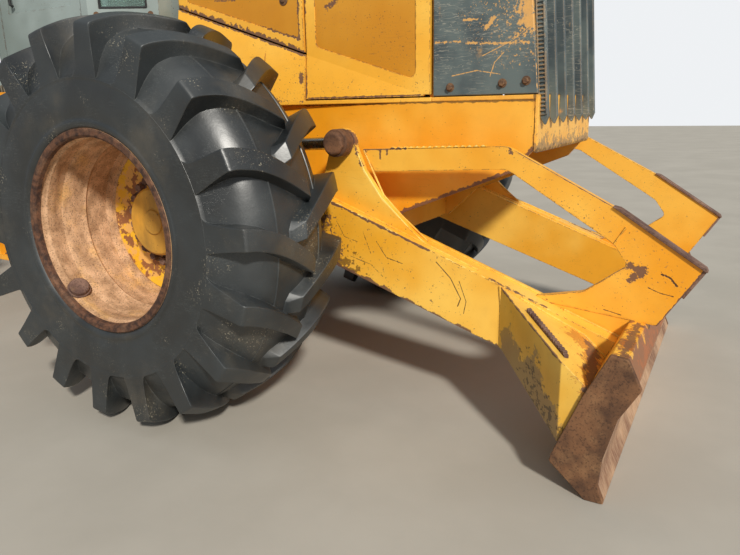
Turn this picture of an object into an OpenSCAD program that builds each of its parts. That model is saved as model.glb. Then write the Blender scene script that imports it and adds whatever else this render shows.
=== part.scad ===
// Cable skidder: an articulated four-wheel logging tractor with a front blade,
// a winch behind the cab and a log arch over the rear frame.
// Every module works in the machine's own axes: X forward from the front axle,
// Y to the left, Z up from the ground. place() then puts the origin under the
// middle of the machine.

/* [Chassis] */
// Distance between the two axles
wheelbase = 3400; // [3300:20:3500]
// Distance from the front axle back to the steering pivot
pivot_back = 1700; // [1680:10:1740]
// Distance between the tyre centres of one axle
track_w = 2410; // [2390:10:2450]
// Width over the side plates of the front frame
frame_w = 1020; // [1000:5:1040]
// Thickness of the frame side plates
frame_t = 30; // [20:2:40]
// Height of the ledge on which the engine doors close
ledge_z = 1425; // [1415:5:1440]
// Radius of the steering pivot pins
pivot_r = 45; // [35:1:55]
// Width of the rear frame box
rear_w = 760; // [700:10:800]
// Distance that the rear frame reaches behind the rear axle
rear_tail = 1130; // [1080:10:1180]

/* [Wheels] */
// Radius over the lug tips
tyre_r = 895; // [885:1:905]
// Width of the tyre section
tyre_w = 620; // [600:5:640]
// Height of a lug above the tread
lug_h = 50; // [40:1:60]
// Width of a lug
lug_w = 78; // [60:1:90]
// Lugs on each half of the tread
lug_count = 18; // [16:1:20]
// Radius over the rim flange
rim_r = 432; // [426:1:438]
// Radius of the planetary hub
hub_r = 205; // [190:1:220]
// Radius of the axle housing
axle_r = 150; // [130:1:160]

/* [Blade] */
// Width of the blade
blade_w = 2200; // [2100:10:2300]
// Height of the blade
blade_h = 563; // [540:1:580]
// Distance from the front axle forward to the cutting edge
blade_x = 2030; // [2000:5:2060]
// Distance from the front axle forward to the lift pivot
lift_x = 420; // [410:1:430]
// Height of the lift pivot
lift_z = 880; // [870:1:890]
// Space between the two lift arms
arm_gap = 1200; // [1190:2:1220]
// Width of a lift arm
arm_w = 150; // [130:1:155]
// Thickness of the brace and horn plates
brace_t = 32; // [20:1:36]
// Radius of the lift cylinder barrels
lift_barrel_r = 58; // [50:1:60]
// Radius of the lift cylinder rods
lift_rod_r = 28; // [22:1:32]

/* [Body] */
// Half width of the hood at the doors
hood_half = 510; // [500:1:515]
// Height of the hood top
hood_top_z = 2120; // [2080:5:2160]
// Thickness of the door and panel sheets
sheet_t = 24; // [16:1:30]
// Gap round the doors
door_gap = 8; // [6:1:12]
// Number of slats in the grille
slat_count = 5; // [3:1:7]
// Distance between grille slats
slat_pitch = 162; // [150:1:164]

/* [Cab] */
// Distance from the front axle back to the cab front
cab_front_back = 430; // [425:5:450]
// Length of the cab
cab_len = 1130; // [1090:10:1150]
// Half width of the cab behind its slanted corners
cab_half = 820; // [800:5:830]
// Height of the cab floor
cab_floor_z = 1310; // [1300:5:1330]
// Height of the cab roof
cab_roof_z = 3020; // [2960:10:3080]
// Thickness of the cab posts and walls
cab_t = 50; // [40:1:60]
// Height of the window sills
sill_z = 1915; // [1890:5:1940]

/* [Winch and arch] */
// Distance from the front axle back to the winch drum
drum_back = 3020; // [2980:10:3060]
// Height of the winch drum
drum_z = 1560; // [1540:5:1600]
// Radius of the wound rope
rope_r = 190; // [150:5:210]
// Radius of the drum flanges
drum_flange_r = 260; // [240:5:270]
// Length of the drum between its flanges
drum_len = 420; // [380:5:440]
// Height of the arch top
arch_z = 2330; // [2250:10:2400]

/* [Hidden] */

$fn = 48;
fine = 64;
// Running clearance of pins in their bores
run = 0.3;
// Seat gap of separate parts
seat = 0.3;

axle_z = tyre_r;
rear_x = -wheelbase;
pivot_x = -pivot_back;
front_reach = blade_x + 224;
rear_reach = wheelbase + rear_tail;
origin_shift = (rear_reach - front_reach) / 2;

yellow = "goldenrod";
steel = "dimgray";
black = "#2b3033";
rust = "#8a5a3c";
grey = "#8f9aa0";

module place() {
  translate([origin_shift, 0, 0]) children();
}

// Extrudes an outline drawn in X and Z along Y, from y0 to y1
module side_slab(y0, y1) {
  translate([0, y1, 0]) rotate([90, 0, 0]) linear_extrude(y1 - y0) children();
}

// Mirrors a right-hand shape to the left as well
module both_sides() {
  children();
  mirror([0, 1, 0]) children();
}

// Picks the right or left side of a shape drawn on the right
module on_side(left) {
  mirror([0, left ? 1 : 0, 0]) children();
}

module y_rod(r, y0, y1, x = 0, z = 0) {
  translate([x, y1, z]) rotate([90, 0, 0]) cylinder(r = r, h = y1 - y0);
}

// Outline of a rectangle from corner to corner
module rect2(a, b) {
  translate(a) square([b[0] - a[0], b[1] - a[1]]);
}

module block(a, b) {
  translate(a) cube([b[0] - a[0], b[1] - a[1], b[2] - a[2]]);
}

// Wheels

module at_wheel(x, left) {
  translate([x, 0, axle_z]) on_side(left) translate([0, -track_w / 2, 0]) children();
}

half_w = tyre_w / 2;
bead_r = rim_r - 22;
tread_r = tyre_r - lug_h;
bead_half = 271.5;

// Points of an arc that rounds the corner at b between its neighbours a and c
function corner_arc(a, b, c, r, n = 4) = let(
  u = (a - b) / norm(a - b), w = (c - b) / norm(c - b), half = acos(u * w) / 2,
  o = b + (u + w) / norm(u + w) * r / sin(half),
  p = b + u * r / tan(half) - o, q = b + w * r / tan(half) - o
) [for (k = [0 : n]) let(v = p + (q - p) * k / n) o + v / norm(v) * r];

// An outline with all its corners rounded
function rounded(points, r) = let(n = len(points))
  [for (i = [0 : n - 1]) each corner_arc(points[(i + n - 1) % n], points[i], points[(i + 1) % n], r)];

// Half sections as distance out from the tyre's centre plane and radius
module carcass_section() {
  polygon([
    [0, bead_r], [bead_half, bead_r], [bead_half + 4, rim_r + 14],
    [half_w - 12, rim_r + 90], [half_w, rim_r + 175], [half_w - 22, tread_r - 150],
    [half_w - 55, tread_r - 75], [half_w - 115, tread_r - 22], [half_w - 210, tread_r],
    [0, tread_r]
  ]);
}

// Turns a half section drawn as [distance along Y, radius] about the Y axis
module revolve_half() {
  rotate([90, 0, 0]) rotate_extrude($fn = fine) mirror([1, -1, 0]) children();
}

// Stations along one lug from its inner end, just past the centre plane, to its foot
// on the sidewall. Columns: distance out and radius on the lug's face, distance out and
// radius at its base, lead round the tread, half width on the face and at the base
lug_rows = [
  [-50, tyre_r, -56, tread_r - 30, 141, lug_w * 0.36, lug_w * 0.48],
  [110, tyre_r - 3, 106, tread_r - 30, 58, lug_w * 0.44, lug_w * 0.6],
  [half_w - 34, tyre_r - 42, half_w - 82, tread_r - 100, 8, lug_w * 0.52, lug_w * 0.72],
  [half_w + 2, rim_r + 198, half_w - 60, rim_r + 150, 0, lug_w * 0.7, lug_w * 0.76]
];

// Point at a radius, out from the centre plane, at a distance round the tread
function tread_point(out, r, round, turn) = let(a = turn + round / r * 180 / PI)
  [r * sin(a), -out, r * cos(a)];

function lug_points(turn) = [for (s = lug_rows) each [
  tread_point(s[0], s[1], s[4] - s[5], turn), tread_point(s[0], s[1], s[4] + s[5], turn),
  tread_point(s[2], s[3], s[4] + s[6], turn), tread_point(s[2], s[3], s[4] - s[6], turn)
]];

lug_stations = len(lug_rows);
lug_faces = concat(
  [[0, 2, 1], [0, 3, 2]],
  [for (i = [0 : lug_stations - 2]) for (k = [0 : 3]) let(a = 4 * i + k, b = 4 * i + (k + 1) % 4)
    each [[a, b, a + 4], [b, b + 4, a + 4]]],
  [let(e = 4 * (lug_stations - 1)) each [[e, e + 1, e + 2], [e, e + 2, e + 3]]]
);

// Degrees from the top of a wheel to its first lug
lug_phase = 7;
module lug_half(first_turn) {
  step = 360 / lug_count;
  for (i = [0 : lug_count - 1])
    polyhedron(points = lug_points(first_turn + i * step), faces = lug_faces);
}

module tyre() {
  color(black) {
    both_sides() revolve_half() carcass_section();
    lug_half(lug_phase);
    mirror([0, 1, 0]) lug_half(lug_phase + 180 / lug_count);
  }
}

disc_y = -115;
// Rim section: barrel, flanges and the dished disc, as [distance along Y, radius]
module rim_section() {
  polygon([
    [-290, rim_r], [-276, rim_r], [-272, bead_r - seat], [272, bead_r - seat], [276, rim_r],
    [290, rim_r], [297, rim_r - 6], [296, rim_r - 24], [284, rim_r - 30], [248, bead_r - 11],
    [238, bead_r - 18], [204, bead_r - 18], [196, bead_r - 14], [166, bead_r - 14],
    [152, bead_r - 22], [60, bead_r - 25], [48, bead_r - 31], [36, bead_r - 24],
    [disc_y + 45, bead_r - 26], [disc_y + 28, bead_r - 36], [disc_y + 12, bead_r - 44],
    [disc_y, bead_r - 80], [disc_y - 5, hub_r + 38], [disc_y - 5, hub_r - 40],
    [disc_y - 25, hub_r - 40], [disc_y - 25, bead_r - 80], [disc_y - 30, bead_r - 22],
    [-270, bead_r - 22], [-292, rim_r - 24]
  ]);
}

hub_bore_r = 82;
module hub_section() {
  polygon([
    [-270, hub_bore_r], [-270, hub_r - 30], [disc_y - 60, hub_r - 26], [disc_y - 45, hub_r + 26],
    [disc_y - 25, hub_r + 26], [disc_y - 25, hub_r - 41], [disc_y - 5, hub_r - 41],
    [disc_y + 14, hub_r - 41], [disc_y + 84, hub_r - 50], [disc_y + 94, hub_r - 60],
    [disc_y + 96, hub_r - 145], [disc_y + 105, hub_r - 150], [disc_y + 105, 0], [-60, 0],
    [-60, hub_bore_r]
  ]);
}

module rim() {
  color(rust) revolve_half() rim_section();
  color(yellow) revolve_half() hub_section();
}

// Axles

hub_in = track_w / 2 - 270;
module axle_body() {
  both_sides() {
    y_rod(axle_r, -hub_in + 4, 0);
    y_rod(hub_bore_r - 1, -track_w / 2 + 64, -hub_in + 6);
    y_rod(hub_r - 25, -hub_in + 4, -hub_in + 74);
  }
  rotate([90, 0, 0]) cylinder(r = 235, h = 250, center = true);
}

module front_axle() {
  color(yellow) translate([0, 0, axle_z]) {
    axle_body();
    // Cradle that holds the axle up to the frame
    both_sides() block([-150, -330, 120], [150, -250, axle_gap_z - axle_z]);
  }
}

module rear_axle() {
  color(yellow) translate([rear_x, 0, axle_z]) {
    axle_body();
    both_sides() block([-160, -330, 120], [160, -240, axle_gap_z - axle_z]);
  }
}

// Front frame

axle_gap_z = 1130;
frame_half = frame_w / 2;
ledge_t = 20;
side_top_z = ledge_z - ledge_t;
// The frame's top where it runs under the cab
cab_clear_z = cab_floor_z - 20;
neck_half = 190;
neck_front = pivot_x + 450;
ear_r = 120;
ear_t = 40;
lug_t = 60;
// Middle heights of the two rear-frame lugs of the steering pivot
ear_levels = [600, 1150];
nose_x = 1580;

// Side plate of the front frame in X and Z
module frame_side() {
  difference() {
    polygon([
      [nose_x - 24, 1200], [nose_x - 105, 1105], [939, 895], [760, 730], [330, 730], [270, 800],
      [240, axle_gap_z], [-300, axle_gap_z], [-360, 720], [-480, 540], [-480, cab_clear_z],
      [-cab_front_back + 10, cab_clear_z], [-cab_front_back + 10, side_top_z], [nose_x - 24, side_top_z]
    ]);
    translate([lift_x, lift_z]) circle(r = 60);
  }
}

module front_frame() {
  color(yellow) {
    both_sides() {
      side_slab(-frame_half, -frame_half + frame_t) frame_side();
      // Boss and pin on which a lift arm turns
      y_rod(95, -arm_gap / 2 + 1, -frame_half, lift_x, lift_z);
      y_rod(44.7, -arm_gap / 2 - arm_w - 18, -frame_half, lift_x, lift_z);
      y_rod(60, -frame_half, -frame_half + 120, lift_x, lift_z);
      // Bracket and pin of a lift cylinder's barrel
      side_slab(-lift_cyl_y + lift_barrel_r + 8, -frame_half) lift_bracket();
      y_rod(lift_boss_r, -lift_cyl_y + lift_eye_half + 4, -frame_half, lift_rear_x, lift_rear_z);
      y_rod(30, -lift_cyl_y - 44, -frame_half, lift_rear_x, lift_rear_z);
      // Bracket of a steering cylinder's barrel
      translate([steer_front[0], -steer_front[1], steer_z]) {
        difference() {
          union() {
            translate([0, 0, -78]) cylinder(r = 62, h = 24);
            block([0, 0, -78], [190, steer_front[1] - 100, -54]);
          }
          translate([0, 0, -79]) cylinder(r = 30, h = 26);
        }
        translate([0, 0, -78]) cylinder(r = 30, h = 126);
      }
    }
    // Cross plates between the side plates
    side_slab(-frame_half + frame_t, frame_half - frame_t) cross_plates();
    // Neck that narrows to the steering pivot
    difference() {
      block([neck_front, -neck_half, 500], [-478, neck_half, 1250]);
      block([neck_front + 40, -neck_half + 30, 530], [-470, neck_half - 30, 1220]);
    }
    for (z = ear_levels) pivot_fork(z);
    for (z = ear_levels) translate([pivot_x, 0, z - lug_t / 2 - ear_t - 14])
      cylinder(r = pivot_r - run, h = lug_t + 2 * ear_t + 28);
  }
}

lift_boss_r = 42;
module lift_bracket() {
  translate([lift_rear_x, lift_rear_z]) circle(r = 62);
  rect2([lift_rear_x - 62, lift_rear_z], [lift_rear_x + 62, lift_rear_z + 150]);
}

module cross_plates() {
  rect2([nose_x - 60, 1200], [nose_x - 24, side_top_z]);
  rect2([700, 731], [745, 1150]);
  rect2([-480, 540], [-455, cab_clear_z]);
  rect2([-300, axle_gap_z], [240, axle_gap_z + 40]);
  rect2([330, 731], [745, 751]);
}

// The two ears of the front frame round one lug of the rear frame
module pivot_fork(z) {
  for (s = [-1, 1])
    translate([0, 0, z + s * (lug_t / 2 + ear_t / 2 + 5) - ear_t / 2])
      difference() {
        union() {
          translate([pivot_x, 0, 0]) cylinder(r = ear_r, h = ear_t);
          linear_extrude(ear_t) polygon([
            [pivot_x, -ear_r], [neck_front + 20, -neck_half], [neck_front + 20, neck_half],
            [pivot_x, ear_r]
          ]);
        }
        translate([pivot_x, 0, -1]) cylinder(r = pivot_r - 1, h = ear_t + 2);
      }
}

// Rear frame

rear_half = rear_w / 2;
throat_x = pivot_x - 450;
tail_x = rear_x - rear_tail + 120;
rear_top_z = 1230;

module rear_side() {
  polygon([
    [throat_x - 260, 520], [rear_x + 620, 520], [rear_x + 330, axle_gap_z], [rear_x - 330, axle_gap_z],
    [rear_x - 520, 760], [tail_x, 760], [tail_x, rear_top_z + 40], [rear_x + 700, rear_top_z + 40],
    [throat_x - 260, rear_top_z]
  ]);
}

module rear_frame() {
  color(yellow) {
    difference() {
      side_slab(-rear_half, rear_half) rear_side();
      // The box is open below the axle and hollow between its plates
      block([tail_x + 30, -rear_half + 40, 790], [rear_x - 300, rear_half - 40, rear_top_z + 10]);
      block([rear_x + 700, -rear_half + 40, 550], [throat_x - 300, rear_half - 40, rear_top_z - 30]);
    }
    difference() {
      block([throat_x - 262, -neck_half, 520], [throat_x, neck_half, rear_top_z]);
      block([throat_x - 300, -neck_half + 30, 550], [throat_x - 40, neck_half - 30, rear_top_z - 30]);
    }
    for (z = ear_levels) translate([0, 0, z - lug_t / 2]) difference() {
      union() {
        translate([pivot_x, 0, 0]) cylinder(r = ear_r, h = lug_t);
        linear_extrude(lug_t) polygon([
          [pivot_x, ear_r], [throat_x - 20, neck_half], [throat_x - 20, -neck_half], [pivot_x, -ear_r]
        ]);
      }
      translate([pivot_x, 0, -1]) cylinder(r = pivot_r, h = lug_t + 2);
    }
    // Plates that carry the steering cylinders' rod eyes
    both_sides() translate([0, 0, steer_z - 74]) {
      translate([steer_rear[0], -steer_rear[1], 0]) cylinder(r = 75, h = 24);
      linear_extrude(24) polygon([
        [steer_rear[0], -steer_rear[1] - 75], [steer_rear[0], -steer_rear[1] + 75],
        [throat_x - 100, -neck_half + 20], [throat_x - 262, -neck_half + 20],
        [throat_x - 262, -steer_rear[1] - 75]
      ]);
    }
  }
}

// Belly plates that close the frames from below
module belly_guards() {
  color(yellow) {
    block([-1180, -neck_half - 60, 478], [-500, neck_half + 60, 500 - seat]);
  }
}

// Steering cylinders

steer_z = 875;
steer_front = [pivot_x + 950, 420];
steer_rear = [pivot_x - 250, 400];
steer_barrel_len = 740;
steer_len = norm([steer_front[0] - steer_rear[0], steer_front[1] - steer_rear[1]]);
steer_turn = atan2(steer_rear[1] - steer_front[1], steer_front[0] - steer_rear[0]);

module steer_axis() {
  translate([steer_front[0], -steer_front[1], steer_z]) rotate([0, 0, 180 + steer_turn])
    rotate([0, 90, 0]) children();
}

module eye(r, bore, h) {
  difference() {
    cylinder(r = r, h = h, center = true);
    cylinder(r = bore, h = h + 2, center = true);
  }
}

module steer_barrel(left) {
  color(steel) on_side(left) difference() {
    union() {
      translate([steer_front[0], -steer_front[1], steer_z]) eye(52, 30 + run, 60);
      steer_axis() translate([0, 0, 45]) cylinder(r = 52, h = steer_barrel_len - 45);
    }
    translate([steer_front[0], -steer_front[1], steer_z]) cylinder(r = 30 + run, h = 140, center = true);
    steer_axis() translate([0, 0, 70]) cylinder(r = 26 + run, h = steer_barrel_len);
  }
}

module steer_rod(left) {
  color("silver") on_side(left) {
    steer_axis() translate([0, 0, steer_len - 800]) cylinder(r = 26, h = 760);
    translate([steer_rear[0], -steer_rear[1], steer_z]) cylinder(r = 48, h = 60, center = true);
    translate([steer_rear[0], -steer_rear[1], steer_z - 44]) cylinder(r = 28, h = 100);
  }
}

// Lift cylinders

lift_cyl_y = arm_gap / 2 + 144;
lift_eye_half = 30;
lift_rear_x = -350;
lift_rear_z = 1190;
horn_x = 740;
horn_z = 1235;
lift_len = norm([horn_x - lift_rear_x, horn_z - lift_rear_z]);
lift_tilt = atan2(horn_z - lift_rear_z, horn_x - lift_rear_x);
lift_barrel_len = 690;

module lift_axis() {
  translate([lift_rear_x, -lift_cyl_y, lift_rear_z]) rotate([0, 90 - lift_tilt, 0]) children();
}

module lift_barrels() {
  color(black) both_sides() difference() {
    union() {
      y_rod(62, -lift_cyl_y - lift_eye_half, -lift_cyl_y + lift_eye_half, lift_rear_x, lift_rear_z);
      lift_axis() translate([0, 0, lift_boss_r + 10])
        cylinder(r = lift_barrel_r, h = lift_barrel_len - lift_boss_r - 10);
    }
    y_rod(30 + run, -lift_cyl_y - 90, -lift_cyl_y + 90, lift_rear_x, lift_rear_z);
    lift_axis() translate([0, 0, 70]) cylinder(r = lift_rod_r + run, h = lift_barrel_len);
  }
}

module lift_rods() {
  color(steel) both_sides() {
    lift_axis() translate([0, 0, lift_len - 560]) cylinder(r = lift_rod_r, h = 520);
    y_rod(60, -lift_cyl_y - lift_eye_half, -lift_cyl_y + lift_eye_half, horn_x, horn_z);
    y_rod(47, -lift_cyl_y - 46, -lift_cyl_y, horn_x, horn_z);
  }
}

// Blade and its lift arms

arm_in = arm_gap / 2;
arm_out = arm_in + arm_w;
arm_slope = -0.377;
arm_top0 = 963 - 715 * arm_slope;
arm_depth = 285;
function arm_top(x) = arm_top0 + arm_slope * x;

module arm_outline() {
  difference() {
    union() {
      polygon([
        [lift_x, lift_z + 125], [lift_x + 60, lift_z + 135], [560, arm_top(560)],
        [blade_x - 30, arm_top(blade_x - 30)], [blade_x - 110, arm_top(blade_x - 110) - arm_depth + 30],
        [600, arm_top(600) - arm_depth - 15], [lift_x, lift_z - 125]
      ]);
      translate([lift_x, lift_z]) circle(r = 125);
    }
    translate([lift_x, lift_z]) circle(r = 45);
  }
}

horn_y = arm_in + 104;
// Horn: the plate that stands on the arm and takes the lift cylinder
module horn_outline() {
  translate([horn_x, horn_z]) circle(r = 62);
  polygon([
    [horn_x - 60, horn_z + 14], [horn_x - 110, 1080], [600, arm_top(600) - 20],
    [1173, arm_top(1173) - 20], [1173, 785], [1085, 851], [1010, 923], [934, 992], [848, 1111],
    [808, 1204], [horn_x + 54, horn_z + 30]
  ]);
}

module lift_arm(left) {
  color(yellow) on_side(left) {
    side_slab(-arm_out, -arm_in) difference() {
      arm_outline();
      // The arm stops where the blade's back begins
      moldboard_outline();
    }
    side_slab(-horn_y, -horn_y + brace_t) difference() {
      horn_outline();
      polygon([[300, arm_top(300)], [2000, arm_top(2000)], [2000, 0], [300, 0]]);
    }
  }
}

brace_rise = 0.0296;
// Height of the brace's upper edge at a distance from the front axle
function brace_top(x) = 1204 + (x - 826) * brace_rise;
tooth_pitch = 30;
tooth_h = 10;
tooth_count = 15;
// Brace and side plate in one piece, with the step teeth on its upper edge
module brace_outline() {
  difference() {
    polygon(concat(
      [[826, brace_top(826)]], corner_arc([826, 1204], [1498, brace_top(1498)], [1929, 998], 90),
      [[2254, 785], [2112, 552], [1700, arm_top(1700)], [1640, arm_top(1640)]],
      corner_arc([1640, arm_top(1640)], [1830, 655], [1990, 777], 60),
      corner_arc([1830, 655], [1990, 777], [1934, 856], 22), [[1934, 856], [1895, 883]],
      corner_arc([1895, 883], [1500, 1131], [884, 1105], 70), [[884, 1105]]
    ));
    moldboard_outline();
  }
  for (i = [0 : tooth_count - 1])
    translate([960 + i * tooth_pitch, brace_top(960 + i * tooth_pitch) - 2])
      polygon([[0, 0], [tooth_pitch / 2, tooth_h], [tooth_pitch, 0.9]]);
}

wear_bar_r = 22;
wear_bar_fall = 33.2;
wear_bar_len = 365;
module brace(left) {
  color(yellow) on_side(left)
    {
      side_slab(-horn_y + brace_t, -horn_y + 2 * brace_t) brace_outline();
      // Round bar along the sloping edge, which the logs rub
      translate([1929, -horn_y + 1.5 * brace_t, 992]) rotate([0, 90 + wear_bar_fall, 0])
        cylinder(r = wear_bar_r, h = wear_bar_len);
    }
}

// Blade section in X and Z: concave front, leaning forward
module moldboard_outline() {
  s = blade_h / 563;
  translate([blade_x - 2030, 0]) polygon([
    [2016, 563 * s], [2072, 556 * s], [2104, 457 * s], [2053, 337 * s], [2012, 170 * s], [2004, 120 * s],
    [1900, 120 * s], [1831, 140 * s], [1851, 187 * s], [1933, 394 * s]
  ]);
}

module edge_outline() {
  translate([blade_x - 2030, 0]) polygon([
    [2003, 120 - seat], [1831, 120 - seat], [1964, 0], [2030, 0], [2003, 65]
  ]);
}

module moldboard() {
  color(yellow) side_slab(-blade_w / 2 + 20, blade_w / 2 - 20) moldboard_outline();
}

module cutting_edge() {
  color(rust) {
    side_slab(-blade_w / 2, blade_w / 2) edge_outline();
    both_sides() side_slab(-blade_w / 2, -blade_w / 2 + 20 - seat)
      moldboard_outline();
  }
}

module wing_gussets() {
  color(yellow) both_sides() difference() {
    intersection() {
      linear_extrude(800) polygon([
        [1512, -arm_out - seat], [blade_x - 20, -arm_out - seat], [blade_x - 20, -blade_w / 2 + 20],
        [blade_x - 180, -blade_w / 2 + 20]
      ]);
      side_slab(-blade_w / 2, -arm_out) polygon([
        [1500, arm_top(1500)], [1600, arm_top(1500) - 50], [1860, 500], [1960, 410],
        [1900, 160], [1854, 192], [1543, 384], [1500, 400]
      ]);
    }
    side_slab(-blade_w / 2 - 1, blade_w / 2 + 1) moldboard_outline();
  }
}

// Engine house

ledge_half_rear = 600;
house_front = 1090;
house_rear = -400;
rad_x = nose_x - 48;

nose_front = nose_x - 5;
module nose() {
  color(yellow) side_slab(-hood_half, hood_half) {
    rect2([house_front, side_top_z + seat], [nose_front - 18, ledge_z]);
    polygon([
      [nose_front - 18, 1190], [nose_front - 4, 1186], [nose_front, 1200], [nose_front, ledge_z],
      [nose_front - 18, ledge_z]
    ]);
  }
}

grille_top = hood_top_z - 20;
module grille() {
  inner = hood_half - sheet_t - seat;
  color(black) {
    for (y = [-inner + 13, inner - 13]) translate([0, y, 0]) slat();
    for (i = [0 : slat_count - 1])
      translate([0, (i - (slat_count - 1) / 2) * slat_pitch, 0]) slat();
    side_slab(-inner, inner) polygon([
      [rad_x - 60, grille_top - 60], [rad_x - 6, grille_top - 60], [rad_x - 8, grille_top],
      [rad_x - 60, grille_top]
    ]);
    // Core of the radiator behind the slats
    block([rad_x - 110, -inner, ledge_z + seat], [rad_x - 55, inner, grille_top]);
  }
}

// One slat: it reaches down in front of the nose, where it ends in a point
module slat() {
  side_slab(-13, 13) polygon([
    [nose_front + 20, 1300], [nose_front + 34, 1336], [rad_x + 22, grille_top - 40],
    [rad_x - 56, grille_top - 40], [rad_x - 56, ledge_z + seat], [nose_front + seat, ledge_z + seat],
    [nose_front + seat, 1330]
  ]);
}

module radiator_panels() {
  color(black) both_sides() side_slab(-hood_half, -hood_half + sheet_t) polygon([
    [house_front + door_gap, ledge_z + 4], [nose_x - 12, ledge_z + 4], [rad_x, 1790],
    [rad_x - 30, hood_top_z - 20], [house_front + door_gap, hood_top_z - 20]
  ]);
}

hinge_y = 360;
strip_z = hood_top_z - 10;
hinge_z = hood_top_z - 18;
hinge_pin_r = 9;
hinge_eye_r = 18;
door_split = 417;
// Stretches of X that each door covers, front to rear
door_spans = [
  [door_split + door_gap, house_front - door_gap],
  [house_rear + door_gap, door_split - door_gap]
];
hinge_len = 90;
knuckle_len = 40;

// Where the eyes of one door stand along X
function eye_places(span) = [span[0] + 110, span[1] - 110 - hinge_len];

module hood_center() {
  color(yellow) {
    // Fixed strip between the doors, and the radiator's top cover
    block([house_rear, -hinge_y + 22, strip_z - 40], [house_front, hinge_y - 22, strip_z]);
    side_slab(-hood_half, hood_half) polygon([
      [house_front - 1, grille_top + seat], [rad_x - 30, grille_top + seat],
      [rad_x - 60, hood_top_z], [house_front - 1, hood_top_z]
    ]);
    // Bulkheads that carry the strip
    for (x = [house_rear + 2, house_front - 22]) translate([x, 0, 0]) rotate([90, 0, 90])
      linear_extrude(20) bulkhead();
    // Hinge pins of the doors with the knuckles that hold them
    both_sides() for (span = door_spans, x = eye_places(span)) {
      translate([x - knuckle_len, -hinge_y, hinge_z]) rotate([0, 90, 0])
        cylinder(r = hinge_pin_r, h = hinge_len + 2 * knuckle_len);
      for (k = [x - knuckle_len - 1, x + hinge_len + 1]) translate([k, 0, 0]) {
        translate([0, -hinge_y, hinge_z]) rotate([0, 90, 0]) cylinder(r = hinge_eye_r, h = knuckle_len);
        block([0, -hinge_y, hinge_z - hinge_eye_r], [knuckle_len, -hinge_y + 23, strip_z]);
      }
    }
  }
}

module bulkhead() {
  half = frame_half - frame_t - seat;
  polygon([
    [-half, 1300], [-half, hood_top_z - 120], [-hinge_y + 22, strip_z - 38],
    [hinge_y - 22, strip_z - 38], [half, hood_top_z - 120], [half, 1300]
  ]);
}

// Where the flare of the doors ends, and how far out the ledge reaches under their seam
flare_end = 1050;
ledge_half_split = 534;
// Height of the crease in the engine house's side: it climbs towards the cab
crease = [
  [house_rear, 1921], [door_split, 1643], [flare_end, ledge_z + 12], [house_front, ledge_z + 12]
];
function crease_z(x) = lookup(x, crease);
function ledge_half(x) = lookup(x, [
  [house_rear, ledge_half_rear], [door_split, ledge_half_split], [flare_end, hood_half],
  [house_front, hood_half]
]);

module body_ledges() {
  color(yellow) both_sides() {
    translate([0, 0, side_top_z + seat]) linear_extrude(ledge_t - seat) polygon([
      [house_front, -frame_half + frame_t], [house_front, -hood_half], [flare_end, -hood_half],
      [door_split, -ledge_half_split], [house_rear, -ledge_half_rear], [house_rear, -frame_half + frame_t]
    ]);
    flared_panel(house_rear, door_split, 0, -3);
  }
}

// Flat panel from the crease out and down to the ledge
module flared_panel(x0, x1, lift, drop) {
  polyhedron(
    points = [for (x = [x0, x1], inset = [0, sheet_t]) each [
      [x, -hood_half + inset, crease_z(x) + drop],
      [x, -ledge_half(x) + inset, ledge_z + lift]
    ]],
    faces = [
      [1, 0, 4], [1, 4, 5], [7, 6, 2], [7, 2, 3], [0, 2, 6, 4], [1, 5, 7, 3], [3, 2, 0, 1],
      [5, 4, 6, 7]
    ]
  );
}

module engine_block() {
  color(steel) block([-330, -300, axle_gap_z + 40], [980, 300, 1990]);
}

module exhaust_stack() {
  color(rust) translate([620, -190, 0]) {
    translate([0, 0, strip_z]) cylinder(r = 62, h = 34);
    translate([0, 0, hood_top_z + 20]) cylinder(r = 48, h = 560);
    translate([0, 0, hood_top_z + 150]) cylinder(r = 85, h = 330);
  }
}

module air_cleaner() {
  color(black) translate([180, 160, 0]) {
    translate([0, 0, strip_z]) cylinder(r = 50, h = 180);
    translate([0, 0, hood_top_z + 160]) cylinder(r = 110, h = 150);
    translate([0, 0, hood_top_z + 305]) sphere(r = 95);
  }
}

// Cross-section of a door in Y and Z on the right-hand side
module door_section() {
  polygon([
    [-hinge_y - 10, hood_top_z - 20], [-hinge_y - 10, hood_top_z], [-hood_half + 70, hood_top_z],
    [-hood_half + 16, hood_top_z - 34], [-hood_half, hood_top_z - 100], [-hood_half, ledge_z],
    [-hood_half + sheet_t, ledge_z], [-hood_half + sheet_t, hood_top_z - 104],
    [-hood_half + 36, hood_top_z - 54], [-hood_half + 80, hood_top_z - 20]
  ]);
}

panel_t = 5;
// Outlines of the panels pressed into the doors, front and rear
panel_top = hood_top_z - 130;
front_panel = rounded([[481, 1675], [481, panel_top], [1012, panel_top], [1012, 1504]], 28);
rear_panel = rounded([[-330, 1948], [-330, panel_top], [384, panel_top], [384, 1717]], 20);
module pressed_panel(outline) {
  side_slab(-hood_half - 1, -hood_half + panel_t) polygon(outline);
}

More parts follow.
